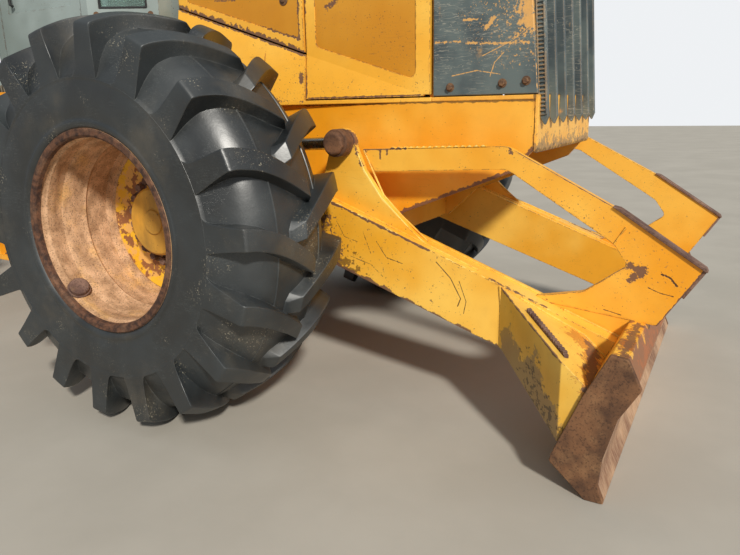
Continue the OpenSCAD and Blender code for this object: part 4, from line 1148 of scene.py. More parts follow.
@dataclass
class Tyre:
    """A forestry tyre with slanted lugs, drawn as distance out, angle from the top and radius."""

    radius: float = 0.895
    lugs: int = 18
    phase: float = 7.0
    steps: int = 216

    def carcass(self) -> list[tuple[float, float]]:
        """Half section with its two moulding ridges.

        Returns:
            Pairs of distance out and radius, from the bead to the middle of the tread.
        """
        wall = smooth_rows([(0.288, 0.432), (0.300, 0.445), (0.303, 0.462), (0.300, 0.474),
                            (0.306, 0.51), (0.3105, 0.57), (0.3112, 0.618)], 3)
        ridge = [(0.3113, 0.624), (0.3128, 0.628), (0.3126, 0.632)]
        scoop = smooth_rows([(0.303, 0.641), (0.29, 0.672), (0.268, 0.722), (0.241, 0.768),
                             (0.205, 0.803), (0.17, 0.823), (0.1395, 0.834)], 4)
        line = [(0.1375, 0.838), (0.133, 0.8385), (0.1305, 0.8355)]
        crown = smooth_rows([(0.124, 0.836), (0.07, 0.842), (0.0, 0.844)], 3)
        return [tuple(row) for row in wall + ridge + scoop + line + crown]

    def lug(self) -> list[list[float]]:
        """Stations of a lug from its inner end to its foot on the sidewall.

        Returns:
            Rows of face out and radius, base out and radius, lead round the tread, half
            width on the face, how far the base spreads and the heel that one side gains.
        """
        end = [(-0.069, 0.85, -0.08, 0.832, 0.191, 0.026, 0.01, 0.0),
               (-0.066, 0.8545, -0.078, 0.832, 0.189, 0.027, 0.011, 0.0)]
        tread = smooth_rows([
            (-0.031, 0.8915, -0.062, 0.83, 0.1665, 0.034, 0.015, 0.0),
            (-0.025, 0.8945, -0.052, 0.83, 0.163, 0.035, 0.016, 0.0),
            (0.0, 0.895, -0.01, 0.83, 0.146, 0.0365, 0.018, 0.0),
            (0.07, 0.894, 0.07, 0.828, 0.1, 0.039, 0.02, 0.0),
            (0.14, 0.8885, 0.135, 0.817, 0.06, 0.041, 0.02, 0.0),
            (0.21, 0.875, 0.186, 0.79, 0.027, 0.0425, 0.018, 0.0),
            (0.28, 0.8505, 0.222, 0.752, 0.006, 0.043, 0.015, 0.0),
            (0.316, 0.8345, 0.232, 0.74, 0.002, 0.043, 0.014, 0.0),
        ], 3)
        corner = [(0.3205, 0.829, 0.235, 0.737, 0.001, 0.043, 0.014, 0.0),
                  (0.3218, 0.8235, 0.237, 0.735, 0.001, 0.043, 0.014, 0.0)]
        wall = smooth_rows([
            (0.321, 0.80, 0.245, 0.725, 0.0, 0.0443, 0.013, 0.0),
            (0.3185, 0.76, 0.258, 0.695, 0.0, 0.047, 0.011, 0.0),
            (0.3155, 0.715, 0.271, 0.665, 0.0, 0.051, 0.009, 0.0),
            (0.3127, 0.67, 0.283, 0.64, 0.0, 0.0555, 0.006, 0.001),
            (0.3128, 0.65, 0.29, 0.63, 0.0, 0.0575, 0.004, 0.006),
            (0.3127, 0.638, 0.295, 0.622, 0.0, 0.0585, 0.003, 0.014),
            (0.3118, 0.63, 0.3, 0.615, 0.0, 0.0595, 0.0, 0.024),
            (0.31, 0.61, 0.3, 0.6, 0.0, 0.0605, 0.0, 0.024),
        ], 2)
        return end + tread + corner + wall

    def shape(self) -> Shape:
        """Carcass and lugs, still rolled out.

        Returns:
            A shape whose points are (out, angle, radius), ready to be placed.
        """
        shape = Shape()
        half = self.carcass()
        ring = half + [(-out, r) for out, r in half[-2::-1]]
        inner = [(-0.25, 0.40), (0.25, 0.40)]
        rows = [[(out, TAU * i / self.steps, r) for i in range(self.steps)]
                for out, r in ring + inner]
        rows.append(rows[0])
        shape.grid(rows, around=True)
        # Width and height fractions across a lug: concave foot, steep flank, eased edge
        cut = [(1.0, 0.0, -0.1), (0.6, 0.0, 0.02), (0.33, 0.0, 0.14), (0.17, 0.0, 0.34),
               (0.07, 0.0, 0.66), (0.02, 0.0, 0.9), (0.0, 0.0, 0.962), (0.0, -0.001, 0.985),
               (0.0, -0.0035, 1.0), (0.0, -0.006, 1.0)]
        across = [(-1, *c) for c in cut] + [(0, 0.0, 0.0, 1.003)] + [(1, *c) for c in cut[::-1]]
        step = TAU / self.lugs
        for sign in (1, -1):
            for i in range(self.lugs):
                turn = math.radians(self.phase) + i * step + (0 if sign > 0 else step / 2)
                rows = []
                for top_out, top_r, low_out, low_r, lead, wide, foot, heel in self.lug():
                    row = []
                    for way, spread, inset, high in across:
                        out = low_out + (top_out - low_out) * high
                        r = low_r + (top_r - low_r) * high
                        reach = way * (wide + spread * foot + inset + (heel if way < 0 else 0.0))
                        row.append((sign * out, turn + lead / self.radius + reach / r, r))
                    rows.append(row)
                shape.grid(rows, caps=True)
        return shape


@dataclass
class Wheel:
    """A wheel: tyre, deep rim with its plug, disc, bolts and hub."""

    x: float
    side: Side
    body: str
    centre_y: float = 1.205
    centre_z: float = 0.895
    bolts: int = 20
    bolt_ring: float = 0.202
    plug_ring: float = 0.395
    plug_degrees: float = 222.0

    def spot(self, out: float, angle: float, radius: float) -> Vector:
        """Place on the machine at a distance out, an angle from the top and a radius."""
        return Vector((self.x + radius * math.sin(angle), self.side.value * (self.centre_y + out),
                       self.centre_z + radius * math.cos(angle)))

    def placed(self, shape: Shape) -> Shape:
        """Carry a rolled-out shape to its place on the machine.

        Args:
            shape: Shape whose points are (out, angle, radius).

        Returns:
            A new shape with the same faces.
        """
        done = Shape()
        done.faces = shape.faces
        done.points = [self.spot(*point) for point in shape.points]
        return done

    def ring(self, profile: Sequence[tuple[float, float]], steps: int = 144) -> Shape:
        """A closed ring from pairs of distance out and radius."""
        rows = [[(out, TAU * i / steps, r) for i in range(steps)]
                for out, r in [*profile, profile[0]]]
        return self.placed(Shape().grid(rows, around=True))

    def build(self, tyre: Shape) -> None:
        """Make the wheel's pieces around its CAD nodes.

        Args:
            tyre: The tyre, still rolled out.
        """
        tag = self.body.replace("wheel_", "")
        piece(f"tread_{tag}", self.placed(tyre), RUBBER, self.body,
              replaces=[f"tyre_{tag}"], sharp=32)
        barrel = [(0.293, 0.434), (0.297, 0.428), (0.296, 0.412), (0.288, 0.405), (0.262, 0.403),
                  (0.248, 0.399), (0.24, 0.393), (0.205, 0.392), (0.196, 0.396), (0.165, 0.396),
                  (0.15, 0.388), (0.11, 0.386), (0.06, 0.385), (0.048, 0.379), (0.036, 0.386),
                  (-0.07, 0.384), (-0.085, 0.375), (-0.1, 0.37), (-0.115, 0.33), (-0.12, 0.24),
                  (-0.118, 0.12), (-0.135, 0.12), (-0.14, 0.26), (-0.135, 0.375), (-0.27, 0.395),
                  (-0.29, 0.41), (-0.293, 0.434), (-0.286, 0.436), (-0.27, 0.418), (0.27, 0.418),
                  (0.284, 0.436)]
        piece(f"rim_barrel_{tag}", self.ring(barrel), RUST_TAN, self.body,
              replaces=[f"rim_{tag}"], sharp=28)
        lip = [(0.2935, 0.4345), (0.2985, 0.4295), (0.2975, 0.408), (0.29, 0.4), (0.272, 0.3965),
               (0.272, 0.405), (0.284, 0.424)]
        piece(f"rim_flange_{tag}", self.ring(lip), RUST_LIP, self.body)
        scales = [(-0.1205, 0.172), (-0.1165, 0.172), (-0.1155, 0.24), (-0.112, 0.31),
                  (-0.1005, 0.352), (-0.1045, 0.354), (-0.1165, 0.312)]
        piece(f"disc_paint_{tag}", self.ring(scales, 96), YELLOW_REMNANT, self.body)
        hub = [(-0.118, 0.0), (-0.118, 0.232), (-0.107, 0.235), (-0.103, 0.228), (-0.1, 0.172),
               (-0.094, 0.166), (-0.03, 0.158), (-0.02, 0.148), (-0.018, 0.06), (-0.01, 0.055),
               (-0.01, 0.0)]
        axis, middle = (0, self.side.value, 0), self.spot(0.0, 0.0, 0.0)
        # The hub takes the grimy enamel partly as painted shade, darker than its own paint
        piece(f"hub_{tag}", Shape().revolve(hub, middle, axis, 64), YELLOW_GRIME_AND_SHADE, self.body,
              bevel=0.002)
        bolts = Shape()
        for i in range(self.bolts):
            place = self.spot(-0.103, TAU * (i + 0.5) / self.bolts, self.bolt_ring)
            bolts.bolt(place, axis, 0.038, 0.03)
        piece(f"wheel_bolts_{tag}", bolts, RUST_EDGE, self.body, bevel=0.001)
        a = math.radians(self.plug_degrees)
        inward = Vector((-math.sin(a), self.side.value * 0.35, -math.cos(a)))
        plug = Shape().revolve([(-0.012, 0.05), (0.014, 0.05), (0.017, 0.044), (0.034, 0.043),
                                (0.039, 0.038), (0.039, 0.0)],
                               self.spot(0.222, a, self.plug_ring), inward, 28)
        piece(f"ballast_plug_{tag}", plug, RUST_EDGE, self.body)


# ---------------------------------------------------------------- the rest of the machine

@dataclass
class Body:
    """Every CAD node that stays, with its finish."""

    edge: float = 0.004

    def build(self) -> None:
        """Dress the nodes by what they are made of."""
        for finish, nodes in (
                (YELLOW, "rear_frame hood_center log_arch rear_fenders fuel_tank_steps "
                         "hydraulic_tank_steps winch_housing"),
                (YELLOW_GRIME_AND_SHADE, "front_axle rear_axle belly_guards lift_barrels "
                               "steer_barrel_right steer_barrel_left"),
                (NOSE, "nose"), (FRAME_SIDE, "front_frame"), (FLARE, "body_ledges"),
                (MOLDBOARD, "moldboard"), (BUTT, "butt_plate"), (WING, "wing_gussets"),
                (FRONT_DOOR, "door_right_front door_left_front"),
                (REAR_DOOR, "door_right_rear door_left_rear"),
                (ARM[Side.RIGHT], "lift_arm_right"), (ARM[Side.LEFT], "lift_arm_left"),
                (GREY, "cab_shell cab_roof cab_door_right cab_door_left"),
                (SLATE, "grille"), (RADIATOR_SIDE, "radiator_panels"),
                (CHROME, "lift_rods steer_rod_right steer_rod_left"), (SCOURED, "cutting_edge"),
                (RUST, "fairlead_rollers exhaust_stack"), (ROPE, "winch_drum"),
                (WINDOW, "cab_windows"),
                (CAST, "engine_block cab_console work_lamps air_cleaner")):
            for node in nodes.split():
                dress(node, finish, 0.0 if finish is WINDOW else self.edge)


def rounded(outline: Sequence[tuple[float, float]], radius: float | Sequence[float],
            steps: int = 5) -> list[tuple[float, float]]:
    """Round the corners of an outline.

    Args:
        outline: Corner points in order.
        radius: Radius of the arcs, or one for each corner, with 0 for a sharp one.
        steps: Chords in each arc.

    Returns:
        The outline with an arc at each corner.
    """
    done = []
    count = len(outline)
    for i in range(count):
        a, b, c = (Vector(outline[(i + k) % count]) for k in (-1, 0, 1))
        bend = radius if isinstance(radius, float) else radius[i]
        if not bend:
            done.append(tuple(b))
            continue
        u, w = (a - b).normalized(), (c - b).normalized()
        half = math.acos(max(-1.0, min(1.0, u.dot(w)))) / 2
        middle = b + (u + w).normalized() * bend / math.sin(half)
        p, q = b + u * bend / math.tan(half) - middle, b + w * bend / math.tan(half) - middle
        done += [tuple(middle + p.lerp(q, k / steps).normalized() * bend) for k in range(steps + 1)]
    return done


@dataclass
class Blade:
    """What the blade and its arms carry: braces, end plates, wear bars, pins, welds and strips."""

    end_y: float = 1.1
    body: str = "blade"
    brace_out: float = -0.672
    brace_in: float = -0.64
    brace_rise: float = 0.0296
    arm_fall: float = 0.377
    step_teeth: int = 15
    step_pitch: float = 0.03
    grip_teeth: int = 16

    def front(self) -> None:
        """The scoured face of the blade, a hair in front of the painted plate."""
        curve = [(2.1, 0.44), (2.09, 0.41), (2.053, 0.337), (2.031, 0.25), (2.012, 0.17),
                 (2.0045, 0.122)]
        back = [(x - 0.004, z) for x, z in curve[::-1]]
        front = [(x + 0.0022, z) for x, z in curve]
        piece("scoured_face", Shape().prism(front + back, -1.079, 1.079), SCOURED, self.body)

    def brace(self, side: Side) -> None:
        """The brace with its step teeth, and the flat bars that the logs rub.

        Args:
            side: The side that it is made for.
        """
        tag = side.tag
        # Corners of the plate in X and Z, each with the radius of its arc
        corners = ((0.826, 1.204, 0), (1.498, 1.2239, 0.09), (1.929, 0.998, 0), (2.254, 0.785, 0),
                   (2.112, 0.552, 0), (1.7, 0.5917, 0), (1.64, 0.6143, 0), (1.83, 0.655, 0.06),
                   (1.99, 0.777, 0.022), (1.934, 0.856, 0), (1.895, 0.883, 0), (1.5, 1.131, 0.07),
                   (0.884, 1.105, 0))
        outline = rounded([c[:2] for c in corners], [c[2] for c in corners])
        plate = Shape().prism(outline, self.brace_out, self.brace_in)
        for i in range(self.step_teeth):
            x = 0.96 + self.step_pitch * i
            z = 1.202 + (x - 0.826) * self.brace_rise
            tooth = [(x, z), (x + self.step_pitch / 2, z + 0.01), (x + self.step_pitch, z + 0.0009)]
            plate.prism(tooth, self.brace_out, self.brace_in)
        piece(f"brace_plate_{tag}", plate.on(side), BRACE[side], self.body,
              replaces=[f"brace_{tag}"])
        rubbed = Shape()
        rubbed.prism([(1.92, 1.0035), (1.945, 0.9985), (1.975, 0.9795), (2.2595, 0.7935),
                      (2.266, 0.78), (2.254, 0.7845), (1.925, 0.9995)], -0.684, -0.631)
        rubbed.prism([(2.253, 0.786), (2.2625, 0.782), (2.1945, 0.6705), (2.1865, 0.676)], -0.674,
                     -0.638)
        piece(f"wear_bars_{tag}", rubbed.rough(30, 0.6).on(side), RUST_EDGE, self.body,
              bevel=0.0025)

    def side(self, side: Side) -> None:
        """The other pieces of one side.

        Args:
            side: The side that they are made for.
        """
        tag = side.tag
        end = rounded([(2.014, 0.566), (2.074, 0.558), (2.122, 0.457), (2.055, 0.337),
                       (2.014, 0.17), (2.006, 0.065), (2.033, 0.001), (1.964, 0.001),
                       (1.829, 0.125), (1.849, 0.187), (1.931, 0.394)], 0.008, 2)
        plate = Shape().prism(end, -self.end_y - 0.002, -self.end_y + 0.021)
        piece(f"end_plate_{tag}", plate.on(side), RUST_PLATE, self.body, bevel=0.003)
        pivot, outward = (0.74, -0.744, 1.235), (0, -1, 0)
        pin = Shape().revolve([(-0.0304, 0.03), (-0.0304, 0.0615), (0.0304, 0.0615), (0.033, 0.058),
                               (0.033, 0.0505), (0.043, 0.0495), (0.047, 0.045), (0.047, 0.0)],
                              pivot, outward, 40)
        cap = Shape().revolve([(0.03, 0.054), (0.05, 0.053), (0.0565, 0.045), (0.0565, 0.0)],
                              pivot, outward, 9)
        piece(f"horn_pin_{tag}", pin.rough(25, 1.2).on(side), RUST_DARK, "lift_rods",
              bevel=0.002)
        piece(f"horn_pin_cap_{tag}", cap.rough(30, 1.5).on(side), RUST_DARK, "lift_rods",
              bevel=0.004)
        top = [(x, 0.963 - self.arm_fall * (x - 0.715)) for x in (0.6, 1.0, 1.4, 1.9)]
        welds = Shape()
        # Each bead has its own seed, counted on from 3
        for seed, (size, *path) in enumerate((
                (0.007, *((x, -0.709, z + 0.002) for x, z in top[:3])),
                (0.007, *((x, -0.637, z + 0.002) for x, z in top)),
                (0.007, (1.76, -0.676, top[0][1] - self.arm_fall * 1.16 + 0.002),
                 (1.98, -0.676, 0.488)),
                (0.004, (1.934, -0.6745, 0.858), (1.972, -0.6745, 0.926)),
                (0.005, (0.83, -0.6745, 1.2), (0.93, -0.6745, 1.0), (1.02, -0.6745, 0.913),
                 (1.15, -0.6745, 0.806)),
                (0.006, (1.512, -0.752, 0.66), (1.54, -0.752, 0.4)),
                (0.007, (1.6, -0.752, 0.619), (1.86, -0.752, 0.502), (1.95, -0.752, 0.422)),
                (0.006, (0.745, -0.512, 0.88), (0.72, -0.512, 0.735))), 3):
            welds.weld(path, size, seed)
        piece(f"blade_welds_{tag}", welds.on(side), ARM[side], self.body)
        foot = Shape().prism([(1.7, 0.589), (1.86, 0.603), (2.05, 0.588), (2.01, 0.475)],
                             self.brace_out + 0.0015, self.brace_in - 0.0015)
        piece(f"brace_foot_{tag}", foot.on(side), BRACE[side], self.body)
        strip = Shape()
        a, b = Vector((1.66, -0.835, 0.592)), Vector((1.856, -1.026, 0.504))
        along = (b - a).normalized()
        across = Vector((along.y, -along.x, 0)).normalized() * 0.009
        for i in range(self.grip_teeth):
            tooth = [a.lerp(b, (i + share) / self.grip_teeth) for share in (0.0, 0.55)]
            strip.bar(*tooth, across, 0.0, 0.017)
        strip.bar(a, b, across, -0.004, 0.009)
        piece(f"grip_strip_{tag}", strip.on(side), RUST_EDGE, self.body)

    def build(self) -> None:
        """Make the face and both sides."""
        self.front()
        for side in Side:
            self.brace(side)
            self.side(side)


@dataclass
class Hood:
    """Small pieces on the engine house: door panels, latches, bolts and the grille's strips."""

    face: float = 0.51
    rungs: int = 42

    def doors(self, side: Side) -> None:
        """Pressed panels and latches of one side's doors.

        Args:
            side: The side that they are made for.
        """
        tag = side.tag
        for end, outline, radius, latch in (
                ("front", [(0.481, 1.675), (0.481, 1.99), (1.012, 1.99), (1.012, 1.504)], 0.028,
                 (0.56, 1.93)),
                ("rear", [(-0.33, 1.948), (-0.33, 1.99), (0.384, 1.99), (0.384, 1.717)], 0.02,
                 (0.3, 1.9))):
            sheet = Shape().prism(rounded(outline, radius), -self.face + 0.0034, -self.face + 0.006)
            piece(f"door_panel_{tag}_{end}", sheet.on(side), YELLOW_PANEL, f"door_{tag}_{end}")
            spot = (latch[0], -self.face + 0.004, latch[1])
            knob = Shape().revolve([(0, 0.024), (0.004, 0.024), (0.006, 0.019), (0.007, 0.011),
                                    (0.012, 0.011), (0.012, 0.0)], spot, (0, -1, 0), 24)
            piece(f"door_latch_{tag}_{end}", knob.on(side), BOLT, f"door_{tag}_{end}")

    def front(self, side: Side) -> None:
        """Bolts of the radiator's side panel and the ladder strip beside the grille.

        Args:
            side: The side that they are made for.
        """
        tag = side.tag
        bolts = Shape()
        for x, z in ((1.18, 1.464), (1.416, 1.474), (1.518, 1.481), (1.18, 2.03), (1.42, 2.03)):
            bolts.bolt((x, -self.face, z), (0, -1, 0), 0.024, 0.014)
        piece(f"radiator_bolts_{tag}", bolts.on(side), BOLT, "front", bevel=0.001)
        strip = Shape()
        low, high = Vector((1.588, -0.49, 1.345)), Vector((1.538, -0.49, 2.03))
        way = (high - low).normalized()
        out = Vector((way.z, 0, -way.x))
        edges = (-0.016, 0.014)
        for shift in edges:
            rail = low + out * shift
            strip.tube([rail, rail + (high - low)], 0.004, 6)
        for i in range(self.rungs + 1):
            p = low.lerp(high, i / self.rungs)
            strip.tube([p + out * shift for shift in edges], 0.0034, 6)
        piece(f"grille_strip_{tag}", strip.on(side), SLATE, "front")

    def build(self) -> None:
        """Make both sides."""
        for side in Side:
            self.doors(side)
            self.front(side)


@dataclass
class Cab:
    """What the cab carries: window bolts and seals, door handles, seat, levers and lamps."""

    front: float = -0.43
    rear: float = -1.56
    floor: float = 1.31
    roof: float = 3.02
    sill: float = 1.915
    head: float = 2.86
    quilting: int = 24

    def pad(self, low: Sequence[float], high: Sequence[float], crown: float, thin: int) -> Shape:
        """A crowned cushion inside a box, its sides pulled in between the corners.

        Args:
            low: Lowest corner.
            high: Highest corner.
            crown: Height of the crown in metres.
            thin: Axis along which it is thin; the high side there is crowned.

        Returns:
            The cushion.
        """
        wide = [axis for axis in range(3) if axis != thin]
        middle = [(a + b) / 2 for a, b in zip(low, high)]
        half = [(b - a) / 2 for a, b in zip(low, high)]
        steps = self.quilting
        rows = []
        for sign in (-1, 1):
            for i in range(steps + 1):
                row = []
                for k in range(steps + 1):
                    u, v = (-1 + 2 * i / steps) * -sign, -1 + 2 * k / steps
                    edge = max(abs(u), abs(v))
                    puff = (1 - abs(u) ** 4) * (1 - abs(v) ** 4)
                    point = list(middle)
                    pull = 1 - 0.035 * (1 - min(abs(u), abs(v)) ** 2) * edge ** 6
                    point[wide[0]] += half[wide[0]] * u * pull
                    point[wide[1]] += half[wide[1]] * v * pull
                    seam = 0.006 * (math.exp(-((abs(v) - 0.62) / 0.03) ** 2) if edge < 0.97 else 0)
                    rim = (half[thin] - crown) * min(1.0, (1 - edge ** 10) ** 0.5 + 0.25)
                    point[thin] += rim + crown * puff - seam if sign > 0 else -rim
                    row.append(point)
                rows.append(row)
        sheet = steps + 1
        return Shape().grid(rows[:sheet]).grid(rows[sheet:])

    def build(self) -> None:
        """Make the cab's small pieces."""
        for side in Side:
            self.windows(side)
        self.lamps()
        self.controls()

    def windows(self, side: Side) -> None:
        """Black seal and bolts round one corner window, and the handle of its door.

        Args:
            side: The side that they are made for.
        """
        tag = side.tag
        start, end = Vector((self.front, -0.62, 0)), Vector((self.front - 0.31, -0.82, 0))
        along = (end - start).normalized()
        out = Vector((-along.y, along.x, 0))
        length = (end - start).length
        inset, rebate = 0.064, 0.004
        seal, bolts = Shape(), Shape()
        corners = [start + along * reach + Vector((0, 0, z)) - out * rebate for reach, z in (
            (inset, self.sill + rebate), (length - inset, self.sill + rebate),
            (length - inset, self.head - rebate), (inset, self.head - rebate))]
        for a, b in zip(corners, corners[1:] + corners[:1]):
            seal.tube([a, b], 0.007, 8)
        spots = [(length * t, self.sill - 0.028) for t in (0.12, 0.5, 0.88)]
        spots += [(reach, z) for z in (2.1, 2.35, 2.6) for reach in (0.03, length - 0.03)]
        for reach, z in spots:
            bolts.bolt(start + along * reach + Vector((0, 0, z)), out, 0.018, 0.01)
        piece(f"window_seal_{tag}", seal.on(side), HOSE, "front")
        piece(f"window_bolts_{tag}", bolts.on(side), BOLT, "front")
        handle = Shape().tube([(-1.36, -0.822, 1.98), (-1.36, -0.838, 1.985), (-1.36, -0.84, 2.08),
                               (-1.36, -0.822, 2.085)], 0.008, 8)
        piece(f"door_handle_{tag}", handle.on(side), HOSE, f"cab_door_{tag}")

    def lamps(self) -> None:
        """Lenses and rims of the work lamps."""
        lenses, rims = Shape(), Shape()
        for x, way in ((self.front - 0.06, 1), (self.rear + 0.06, -1)):
            for y in (-0.42, 0.42):
                spot = (x + way * 0.04, y, self.roof + 0.0806)
                lenses.revolve([(-0.002, 0.05), (0.0012, 0.05), (0.004, 0.03), (0.005, 0.0)], spot,
                               (way, 0, 0), 32)
                rims.revolve([(-0.01, 0.0625), (0.001, 0.0625), (0.004, 0.058), (0.001, 0.051),
                              (-0.002, 0.05)], spot, (way, 0, 0), 32)
        piece("lamp_lenses", lenses, LENS, "front")
        piece("lamp_rims", rims, HOSE, "front")

    def controls(self) -> None:
        """Seat pads on their base, levers and pedals."""
        seat = self.pad((self.rear + 0.262, -0.218, self.floor + 0.285),
                        (self.rear + 0.698, 0.218, self.floor + 0.402), 0.02, 2)
        back = self.pad((self.rear + 0.203, -0.208, self.floor + 0.405),
                        (self.rear + 0.308, 0.208, self.floor + 0.978), 0.018, 0)
        for name, shape in (("seat_pad", seat), ("seat_back_pad", back)):
            piece(name, shape, VINYL, "front", sharp=70)
        base = Shape().block((self.rear + 0.33, -0.16, self.floor + 0.051),
                             (self.rear + 0.62, 0.16, self.floor + 0.284))
        for z in (0.1, 0.14, 0.18, 0.22):
            base.block((self.rear + 0.325, -0.165, self.floor + z),
                       (self.rear + 0.625, 0.165, self.floor + z + 0.018))
        piece("seat_base", base, HOSE, "front", bevel=0.004,
              replaces=["operator_seat"])
        levers = Shape()
        for y in (0.24, 0.3, 0.36):
            levers.tube([(self.front - 0.3, y, self.floor + 0.05),
                         (self.front - 0.34, y, self.floor + 0.45)], 0.007, 8)
            levers.revolve([(0, 0.006), (0.004, 0.014), (0.02, 0.018), (0.036, 0.012), (0.04, 0.0)],
                           (self.front - 0.342, y, self.floor + 0.45), (-0.1, 0, 1), 16)
        for y in (-0.14, 0.1):
            levers.block((self.front - 0.33, y, self.floor + 0.09),
                         (self.front - 0.3, y + 0.07, self.floor + 0.19))
            levers.tube([(self.front - 0.31, y + 0.035, self.floor + 0.12),
                         (self.front - 0.26, y + 0.035, self.floor + 0.1)], 0.008, 8)
        piece("hand_levers", levers, HOSE, "front")


@dataclass
class Winch:
    """Wire rope wound on the drum."""

    x: float = -3.02
    z: float = 1.56
    radius: float = 0.194
    start_y: float = -0.188
    pitch: float = 0.0222
    turns: int = 17
    strand: float = 0.0104
    steps: int = 44

    def build(self) -> None:
        """Wind the rope in one layer."""
        path = []
        for i in range(self.turns * self.steps + 1):
            a = TAU * i / self.steps
            path.append((self.x + math.cos(a) * self.radius,
                         self.start_y + self.pitch * i / self.steps,
                         self.z + math.sin(a) * self.radius))
        piece("drum_rope", Shape().tube(path, self.strand, 7), ROPE, "drum",
              sharp=60)


@dataclass
class Rear:
    """Caps, treads and beads of the tanks, grab rails of the cab and covers of the winch."""

    deck: float = 1.31
    post_x: float = -1.526

    def winch_covers(self) -> None:
        """Bearing cover on the right cheek and the gear case's cover on the left."""
        winch, bolts, covers = Winch(), Shape(), Shape()
        # Sign of Y, place of the face, radius of the bolt circle, bolts and radius of the bore
        for sign, face, ring, count, bore in ((-1, 0.27, 0.088, 8, 0.052),
                                              (1, 0.36, 0.17, 12, 0.0)):
            axis = (0, sign, 0)
            covers.revolve([(0, bore), (0, ring + 0.02), (0.01, ring + 0.02), (0.014, ring + 0.012),
                            (0.014, bore)], (winch.x, sign * face, winch.z), axis, 48)
            for i in range(count):
                a = TAU * i / count
                bolts.bolt((winch.x + math.cos(a) * ring, sign * (face + 0.014),
                            winch.z + math.sin(a) * ring), axis, 0.02, 0.012)
        piece("winch_covers", covers, YELLOW_GRIME_AND_SHADE, "rear", bevel=0.001)
        piece("winch_bolts", bolts, BOLT, "rear")

    def tank(self, side: Side) -> None:
        """Filler cap, step treads and weld beads of one tank.

        Args:
            side: The side that they are made for.
        """
        tag = side.tag
        cap = Shape().revolve([(0, 0.0), (0, 0.052), (0.02, 0.052), (0.024, 0.047), (0.03, 0.047),
                               (0.046, 0.043), (0.05, 0.036), (0.05, 0.0)],
                              (-1.22, -0.9, self.deck - 0.001), (0, 0, 1), 32)
        cap.tube([(-1.262, -0.9, self.deck + 0.052), (-1.178, -0.9, self.deck + 0.052)], 0.006, 8)
        piece(f"filler_cap_{tag}", cap.on(side), BOLT, "front", bevel=0.001)
        treads = Shape()
        for top in (0.59, 0.73):
            for i in range(9):
                for y in (-1.055, -0.995, -0.935):
                    treads.revolve([(-0.001, 0.008), (-0.001, 0.016), (0.005, 0.012),
                                    (0.005, 0.008)], (-1.41 + i * 0.046, y, top), (0, 0, 1), 14)
        piece(f"step_grips_{tag}", treads.on(side), BOLT, "front")
        beads = Shape()
        for seed, path in enumerate(([(-0.9845, -0.9805, 0.83), (-0.9845, -0.9805, 1.3)],
                                     [(-1.4805, -0.9805, 0.83), (-1.4805, -0.9805, 1.3)],
                                     [(-1.012, -0.981, 0.8205), (-1.438, -0.981, 0.8205)]), 11):
            beads.weld(path, 0.005, seed)
        piece(f"tank_beads_{tag}", beads.on(side), YELLOW, "front")

    def grab(self, side: Side) -> None:
        """Grab rail behind one cab door.

        Args:
            side: The side that it is made for.
        """
        low, high = 1.56, 2.14
        line = [(self.post_x, y, z) for y, z in (
            (-0.818, low), (-0.85, low + 0.005), (-0.862, low + 0.04), (-0.862, high - 0.04),
            (-0.85, high - 0.005), (-0.818, high))]
        rail = Shape().tube(smooth_rows(line, 3), 0.011, 12)
        for z in (low, high):
            rail.revolve([(0, 0.026), (0.005, 0.026), (0.007, 0.02), (0.007, 0.0)],
                         (self.post_x, -0.82, z), (0, -1, 0), 20)
        piece(f"grab_rail_{side.tag}", rail.on(side), GREY, "front")

    def build(self) -> None:
        """Make both sides and the winch's covers."""
        for side in Side:
            self.tank(side)
            self.grab(side)
        self.winch_covers()


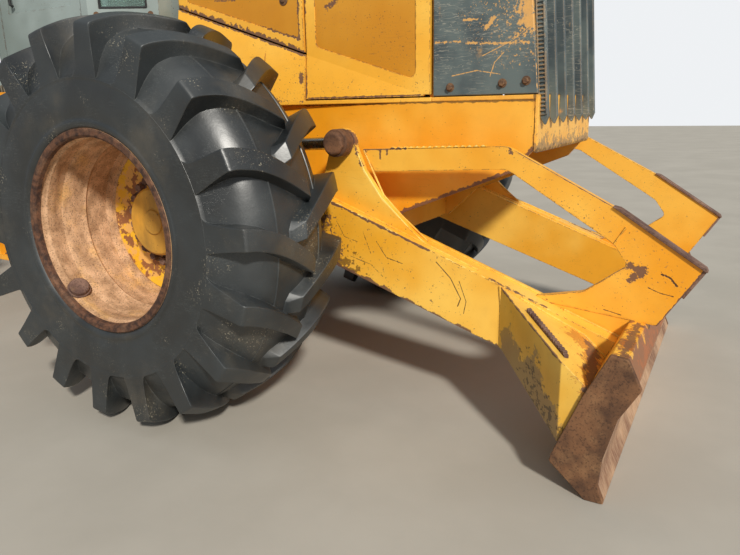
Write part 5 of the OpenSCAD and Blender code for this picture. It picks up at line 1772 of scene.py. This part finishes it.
@dataclass
class Engine:
    """What shows when an engine door swings up: ports, manifold, filters, pulley and hoses."""

    wall: float = -0.299
    ports: int = 6
    hose_points: int = 14

    def side(self, side: Side) -> Shape:
        """Castings bolted on one side of the block.

        Args:
            side: The side that they are made for.

        Returns:
            Their shape.
        """
        shape = Shape()
        for i in range(self.ports):
            shape.revolve([(0, 0.03), (0.06, 0.034), (0.075, 0.04)],
                          (-0.18 + i * 0.16, self.wall, 1.78), (0, -1, 0.2), 16)
        shape.tube([(-0.2, -0.372, 1.8), (0.2, -0.378, 1.8), (0.66, -0.372, 1.8)], 0.04, 14)
        for x in (-0.1, 0.06):
            shape.revolve([(0, 0.02), (0.005, 0.052), (0.16, 0.052), (0.17, 0.03), (0.17, 0.0)],
                          (x, -0.36, 1.66), (0, 0, -1), 24)
        shape.block((0.22, -0.345, 1.36), (0.5, self.wall, 1.6))
        for x in (0.25, 0.33, 0.41, 0.47):
            for z in (1.385, 1.575):
                shape.bolt((x, -0.345, z), (0, -1, 0), 0.018, 0.01)
        shape.block((-0.25, -0.325, 1.24), (0.9, self.wall, 1.3))
        shape.revolve([(0, 0.1), (0.02, 0.1), (0.022, 0.085), (0.03, 0.085), (0.032, 0.1),
                       (0.05, 0.1)], (0.978, -0.1, 1.55), (1, 0, 0), 36)
        return shape.on(side)

    def hoses(self, side: Side) -> Shape:
        """Rubber hoses and a loom along one side.

        Args:
            side: The side that they are made for.

        Returns:
            Their shape.
        """
        shape = Shape()
        for k, (z, sag) in enumerate(((1.9, 0.05), (1.52, 0.09), (1.46, 0.11))):
            path = []
            for i in range(self.hose_points + 1):
                t = i / self.hose_points
                path.append((-0.25 + 1.15 * t, -0.33 - 0.02 * math.sin(3.1 * t) - 0.012 * k,
                             z - sag * math.sin(math.pi * t)))
            shape.tube(smooth_rows(path, 2), 0.014 - 0.002 * k, 9)
        return shape.on(side)

    def build(self) -> None:
        """Make both sides."""
        for side in Side:
            tag = side.tag
            piece(f"engine_castings_{tag}", self.side(side), CAST, "front",
                  bevel=0.002)
            piece(f"engine_hoses_{tag}", self.hoses(side), HOSE, "front")


def main() -> None:
    """Build the stage and every sub-assembly, and log each one."""
    logging.basicConfig(level=logging.INFO, format="%(name)s: %(message)s")
    # Blender starts this noise from the clock; with a seed every run makes the same pieces
    noise.seed_set(NOISE_SEED)
    stage = Stage()
    stage.camera()
    stage.light()
    stage.floor()
    Body().build()
    LOG.info("dressed the packed nodes")
    tyre = Tyre().shape()
    for end, x in (("front", 0.0), ("rear", -3.4)):
        for side in Side:
            name = f"wheel_{end}_{side.tag}"
            Wheel(x, side, name).build(tyre)
            LOG.info("built %s", name)
    for part in (Blade(), Hood(), Cab(), Winch(), Rear(), Engine()):
        part.build()
        LOG.info("built %s", type(part).__name__)


if __name__ == "__main__":
    main()
